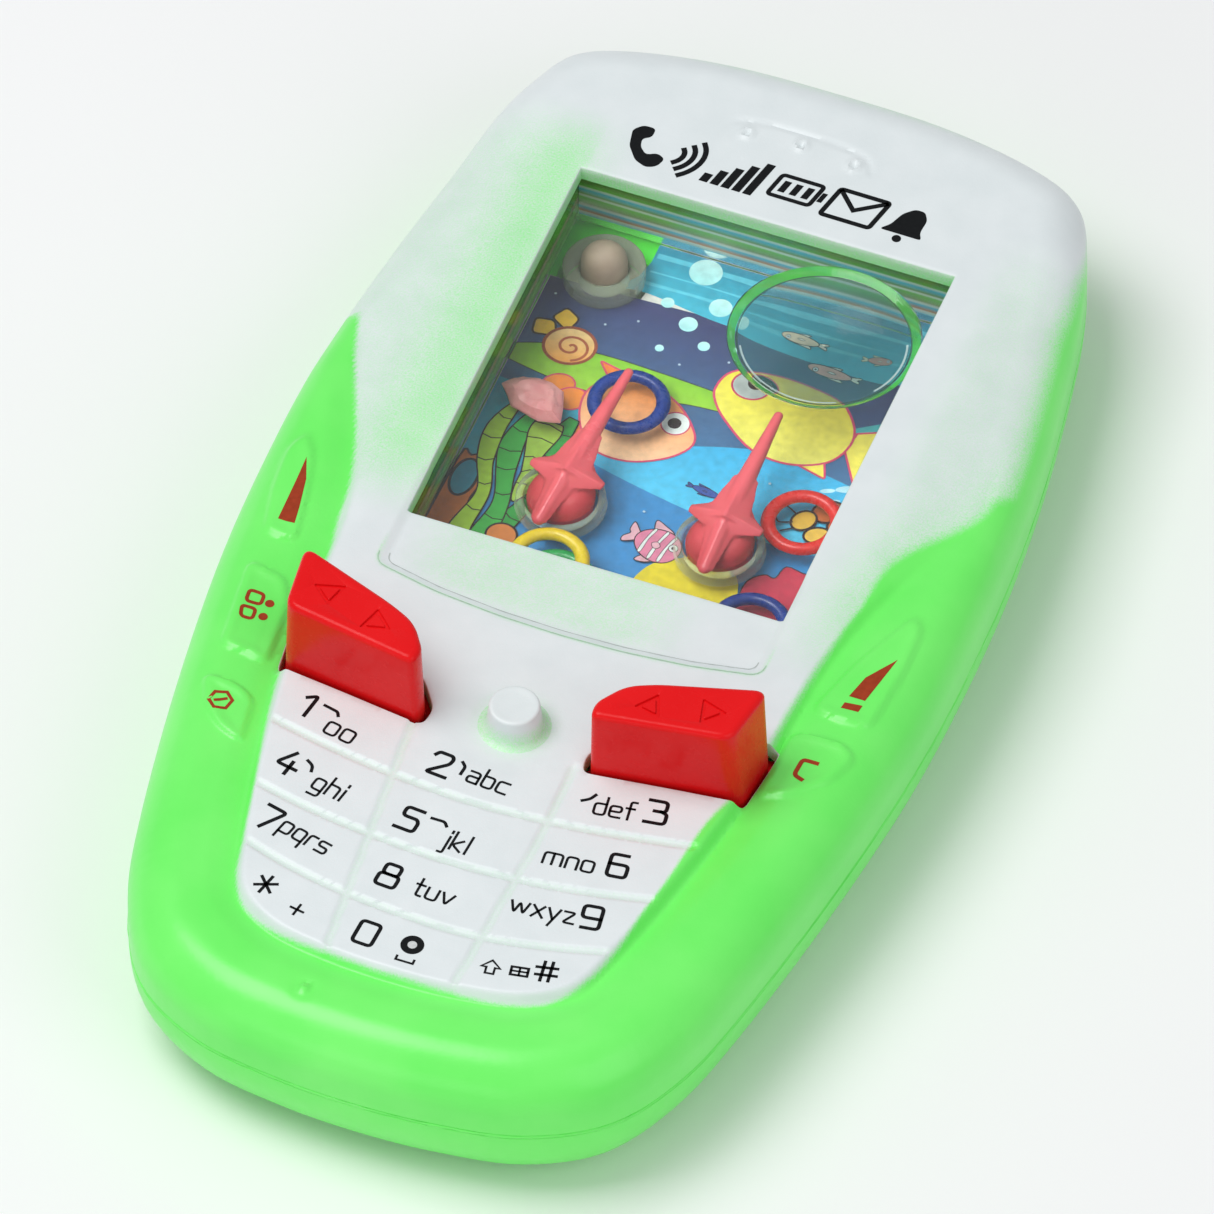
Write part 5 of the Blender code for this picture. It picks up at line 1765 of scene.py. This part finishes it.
def peg(label, side):
    """One moulding: a turned foot, a round body, and a ridged four-armed star with a long spike."""
    bm = bmesh.new()
    at = Vector((side * BOSS_X, BOSS_Y, 0))
    hub = Vector((side * PEG_X, PEG_Y, PEG_Z))
    lean = PEG_LEAN[label]
    foot_low, foot_high = (at + Vector((0, 0, z)) for z in PEG_FOOT_Z)
    limb(bm, foot_low, foot_high, PEG_FOOT, PEG_FOOT, 32, up=Vector((0, 1, 0)))
    ball_into(bm, Vector((hub.x, at.y + 0.15, PEG_BODY_Z)), PEG_BODY)
    spike = Vector((math.sin(lean), math.cos(lean), 0.05))
    tail = Vector((PEG_TAIL[label], -6.2, -1.0))
    limb(bm, hub, hub + spike * SPIKE, 1.15, 0.44, 20)
    ball_into(bm, hub + spike * SPIKE, (0.45, 0.5, 0.45))
    limb(bm, hub - spike * 0.5, hub + spike * 4.8, 2.3, 1.2, 4, 0.66)
    limb(bm, hub - tail * 0.1, hub + tail * 0.92, 1.6, 0.85, 4, 0.72)
    limb(bm, hub, hub + tail * 0.9, 0.95, 0.62, 16)
    ball_into(bm, hub + tail * 0.9, (0.62, 0.62, 0.6))
    tips = [(3.55, -0.35, -0.3), tuple(spike * 5.4), (-3.5, 0.1, -0.3), tuple(tail * 0.75)]
    for tip in (tips[0], tips[2]):
        limb(bm, hub - Vector(tip) * 0.1, hub + Vector(tip), 2.3, 0.5, 4, 0.62)
    star_into(bm, hub, tips, (2.55, 2.55, 2.2, 2.2), 1.2, 2.2)
    bmesh.ops.recalc_face_normals(bm, faces=bm.faces)
    made = from_bmesh(f"peg_{label}_star", bm, pink_plastic)
    remesh = made.modifiers.new("one skin", "REMESH")
    remesh.mode = "VOXEL"
    remesh.voxel_size = PEG_VOXEL * MM
    relax = made.modifiers.new("soft edges", "SMOOTH")
    relax.factor = 0.5
    relax.iterations = 4
    apply_modifiers(made)
    made.data.shade_smooth()
    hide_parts(f"peg_{label}")


def ring(name, colour):
    """A loose ring: round in section, with a moulding line round its edge and a small gate nub."""
    low, high = mm_box(name)
    centre = (low + high) / 2
    around, across = 84, 24
    verts = []
    for i in range(around):
        a = math.tau * i / around
        for k in range(across):
            b = math.tau * k / across
            off_edge, off_gate = math.remainder(b, math.tau), math.remainder(a - GATE_ANGLE, math.tau)
            line = RING_LINE * math.exp(-((off_edge / 0.16) ** 2))
            gate = 0.05 * math.exp(-((off_gate / 0.10) ** 2) - (off_edge / 0.5) ** 2)
            radius = RING_MINOR - RING_LINE + line + gate * 0.5
            reach = RING_MAJOR - 0.03 + radius * math.cos(b)
            x, y = centre.x + reach * math.cos(a), centre.y + reach * math.sin(a)
            verts.append((x, y, centre.z + radius * math.sin(b)))
    faces = tube_faces(around, across)
    made = piece(f"{name}_torus", verts, faces, ring_plastics[colour], body=name, sharp=60)
    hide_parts(name)


def shard():
    """The drifting bit of pink plastic: a low flake with a broken edge and an uneven face."""
    outline = (
        (-3.4, 0.6), (-2.7, 1.6), (-1.9, 2.1), (-0.5, 2.35), (0.9, 2.2), (2.1, 1.7), (2.7, -0.1), (3.2, -1.8),
        (2.2, -2.1), (1.2, -2.2), (-0.3, -1.9), (-1.7, -1.45), (-2.7, -0.2),
    )
    bm = bmesh.new()
    layers = []
    for share, z in ((0.84, 0.42), (1.0, 0.85), (0.97, 1.15), (0.66, 1.80), (0.34, 1.88)):
        ring_points = []
        for i, (x, y) in enumerate(outline):
            jitter = 1 + 0.08 * noise.noise(Vector((i * 1.7, z * 3.0, 4.0)))
            p = (SHELL_AT[0] + x * share * jitter * 0.98, SHELL_AT[1] + y * share * jitter)
            lift = 0.10 * noise.noise(Vector((i * 2.3, z, 8.0)))
            ring_points.append(bm.verts.new((*p, TANK_Z[0] + z - 0.1 + lift * share)))
        layers.append(ring_points)
    for lower, upper in zip(layers, layers[1:]):
        skin(bm, lower, upper)
    bm.faces.new(layers[0][::-1])
    bm.faces.new(layers[-1])
    bmesh.ops.triangulate(bm, faces=bm.faces)
    bmesh.ops.subdivide_edges(bm, edges=bm.edges, cuts=2, smooth=0.05, use_grid_fill=True)
    for vert in bm.verts:
        push = 0.16 * noise.noise(vert.co * 1.1 + Vector((5, 2, 7))) + 0.05 * noise.noise(vert.co * 3.2)
        vert.co.z += push
    bmesh.ops.recalc_face_normals(bm, faces=bm.faces)
    made = from_bmesh("floating_flake", bm, shard_pink, body="floating_shell", sharp=32)
    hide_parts("floating_shell")


def plug():
    """The rubber stopper: a domed peg up through the neck, and a flat head behind the case."""
    profile = [(0, 10.38), (0.7, 10.30), (1.3, 10.02), (1.75, 9.5), (2.0, 8.8), (2.1, 7.9)]
    profile += [(2.12, 6.2), (2.1, 2.9)]
    profile += arc_profile((2.4, 2.88), 0.28, 180, 270, 4)
    profile += [(3.4, 2.6)] + arc_profile((3.45, 2.36), 0.24, 90, 0, 4)
    profile += [(3.7, 1.0)] + arc_profile((3.3, 0.92), 0.4, 0, -90, 5)
    profile += [(1.6, 0.52), (1.35, 0.78), (0, 0.8)]
    made = lathe("filler_plug_rubber", profile, PLUG_AT, rubber, body="filler_plug", steps=64, sharp=50)
    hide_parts("filler_plug")


for label, side in SIDES.items():
    peg(label, side)
for name in ("ring_blue_upper", "ring_blue_lower", "ring_red", "ring_green", "ring_yellow"):
    ring(name, name.split("_")[1])
shard()
plug()

# ---------------------------------------------------------------- buttons and pumps

BUTTON_TOP_Z = 24.7
BUTTON_FLANGE_Z = (12.9, 13.7)
BUTTON_EDGE = 0.62
BUTTON_WALL = 1.3
BUTTON_ROOF = 1.6
# How much of the way from its foot's outline to its top's a button has gone where its edge starts.
SHOULDER_SHARE = 0.93
# Centre, half width and turn of each arrow head engraved in a button's top.
ARROWS = {
    "left": (((-18.0, -18.8), 1.2, 286), ((-13.0, -20.4), 1.15, 104)),
    "right": (((12.8, -20.8), 1.1, 201), ((18.0, -19.5), 1.15, 14)),
}
ARROW_LINE = 0.4
ARROW_DEPTH = 0.22


def button(label, side):
    """A hollow cap with a flange at its foot and two arrow heads sunk in its top, and its stem."""
    top = BUTTON_TOPS[label] if side > 0 else flipped(BUTTON_TOPS[label])
    foot = BUTTON_FOOT if side > 0 else flipped(BUTTON_FOOT)
    middle = Vector((side * PUMP_AT[0], PUMP_AT[1]))
    low, high = BUTTON_FLANGE_Z
    bm = bmesh.new()

    def level(share, inwards, z):
        corners = pulled_in([Vector(f).lerp(Vector(t), share) for f, t in zip(foot, top)], middle, inwards)
        return [bm.verts.new((*p, z)) for p in rounded(corners, max(1.3 - 0.7 * inwards, 0.4), 8)]

    rings = [
        level(0, BUTTON_WALL, low), level(0, -1.1, low), level(0, -1.1, high - 0.1), level(0, -1.0, high),
    ]
    waist, shoulder = FACE_Z - 1.5, BUTTON_TOP_Z - BUTTON_EDGE
    rings += [level(0, 0.0, high), level(0, 0.0, waist)]
    for step in range(1, 7):
        share = step / 6
        rings.append(level(share * SHOULDER_SHARE, 0.0, waist + (shoulder - waist) * share))
    for step in range(1, 8):
        angle = math.radians(90 * step / 7)
        inset, z = BUTTON_EDGE * (1 - math.cos(angle)), BUTTON_TOP_Z - BUTTON_EDGE * (1 - math.sin(angle))
        rings.append(level(SHOULDER_SHARE + (1 - SHOULDER_SHARE) * step / 7, inset, z))
    for lower, upper in zip(rings, rings[1:]):
        skin(bm, lower, upper)
    roof = level(1, BUTTON_WALL, BUTTON_TOP_Z - BUTTON_ROOF)
    skin(bm, roof, rings[0])
    bm.faces.new(roof)
    rims = [rings[-1]]
    for at, half, turn in ARROWS[label]:
        head = ((-half, -half * 0.6), (half, -half * 0.6), (0, half))
        edges, _ = ribbon(turned(head, at, turn - 90), ARROW_LINE, closed=True)
        sides = sorted((edges[:3], edges[3:]), key=lambda line: -(line[0] - line[1]).length)
        loops = []
        depths = (0, 0.04, ARROW_DEPTH)
        course = [(sides[0], 1, deep) for deep in depths] + [(sides[1], -1, deep) for deep in depths[::-1]]
        for line, way, deep in course:
            centre = sum(line, Vector((0, 0))) / 3
            shrink = 0.05 * way if deep else 0.0
            pulled = [p + (centre - p).normalized() * shrink for p in line]
            loops.append([bm.verts.new((*p, BUTTON_TOP_Z - deep)) for p in rounded(pulled, 0.22)])
        for upper, lower in zip(loops, loops[1:]):
            skin(bm, upper, lower)
        fill_between(bm, [loops[-1]])
        rims.append(loops[0])
    fill_between(bm, rims)
    bmesh.ops.recalc_face_normals(bm, faces=bm.faces)
    cap = from_bmesh(f"button_{label}_cap", bm, red_plastic, body=f"button_{label}", sharp=40)
    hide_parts(f"button_{label}")
    foot_z = low + 0.02
    stem = [(0, foot_z), (1.45, foot_z), (1.6, 13.1), (1.6, 23.0), (0, 23.0)]
    made = lathe(f"button_{label}_stem", stem, middle, red_plastic, body=f"button_{label}", steps=40)


def pump(label, side):
    """The soft dome under a button, which the button presses on; it is made in its resting shape."""
    profile = (
        (0, 12.55), (2.3, 12.55), (
            2.75, 12.45,
        ), (3.1, 12.15), (3.4, 11.4), (3.75, 10.5), (4.15, 9.6), (4.4, 9.1),
        (4.55, 8.85), (5.3, 8.8), (5.4, 8.7), (5.4, 8.35), (4.2, 8.3), (3.9, 8.9), (3.4, 10.2), (2.8, 11.6),
        (2.4, 11.9), (0, 11.9),
    )
    made = lathe(f"pump_dome_{label}", profile, (side * PUMP_AT[0], PUMP_AT[1]), rubber, steps=64, sharp=60)
    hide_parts(f"pump_bellows_{label}")
    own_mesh(made)
    repaint(f"bellows_collar_{label}", collar_white)


for label, side in SIDES.items():
    button(label, side)
    pump(label, side)

# ---------------------------------------------------------------- floor, light and camera

FLOOR_SIZE = 6000
FLOOR_Z = -0.05
LIGHT_TARGET = Vector((0, 0, 0.01))


def floor():
    """A plain pale sweep that the toy lies on."""
    bm = bmesh.new()
    bmesh.ops.create_grid(bm, x_segments=4, y_segments=4, size=FLOOR_SIZE)
    bmesh.ops.translate(bm, verts=bm.verts, vec=(0, 0, FLOOR_Z))
    mesh = bpy.data.meshes.new("floor")
    bmesh.ops.scale(bm, vec=(MM, MM, MM), verts=bm.verts)
    bm.to_mesh(mesh)
    bm.free()
    made, tree = new_material("pale_floor")
    colour = tint(tree, grain(tree, 40.0, 2.0), (0.91, 0.91, 0.91), (0.93, 0.93, 0.93))
    principled(made, tree, {"Base Color": colour, "Roughness": 0.9, "Specular IOR Level": 0.1})
    mesh.materials.append(made)
    obj = bpy.data.objects.new("floor", mesh)
    bpy.context.scene.collection.objects.link(obj)


def softbox(name, at, size, power):
    """A white area light that faces the toy."""
    light = bpy.data.lights.new(name, "AREA")
    light.shape = "RECTANGLE"
    light.size, light.size_y = size
    light.energy = power
    obj = bpy.data.objects.new(name, light)
    obj.location = at
    obj.rotation_euler = (LIGHT_TARGET - Vector(at)).to_track_quat("-Z", "Y").to_euler()
    bpy.context.scene.collection.objects.link(obj)


def sky():
    """Even, faintly cool light from all round."""
    world = bpy.data.worlds.new("studio")
    world.use_nodes = True
    world.node_tree.nodes["Background"].inputs["Color"].default_value = (0.96, 0.98, 1.0, 1)
    world.node_tree.nodes["Background"].inputs["Strength"].default_value = 0.42
    bpy.context.scene.world = world


def camera():
    """Looks down at the face from beyond the chin, a little from the right."""
    target = Vector((0.0028, -0.0052, 0.0165))
    right = Vector((0.933, 0.36, 0)).normalized()
    back = Vector((0.2318, -0.6008, 0.765)).normalized()
    up = back.cross(right)
    data = bpy.data.cameras.new("camera")
    data.sensor_width = 36
    distance, view_width = 3.4, 0.1065
    data.lens = data.sensor_width * distance / view_width
    data.clip_start, data.clip_end = 0.5, 20
    obj = bpy.data.objects.new("camera", data)
    turn = Matrix((right, up, back)).transposed().to_4x4()
    obj.matrix_world = Matrix.Translation(target + back * distance) @ turn
    bpy.context.scene.collection.objects.link(obj)
    bpy.context.scene.camera = obj


floor()
softbox("key", (-0.30, -0.12, 0.78), (0.5, 0.5), 4.1)
softbox("fill", (0.55, -0.25, 0.45), (0.5, 0.5), 0.9)
softbox("front", (-0.10, -0.70, 0.25), (0.6, 0.3), 0.5)
sky()
camera()
bpy.context.scene.view_settings.view_transform = "Standard"
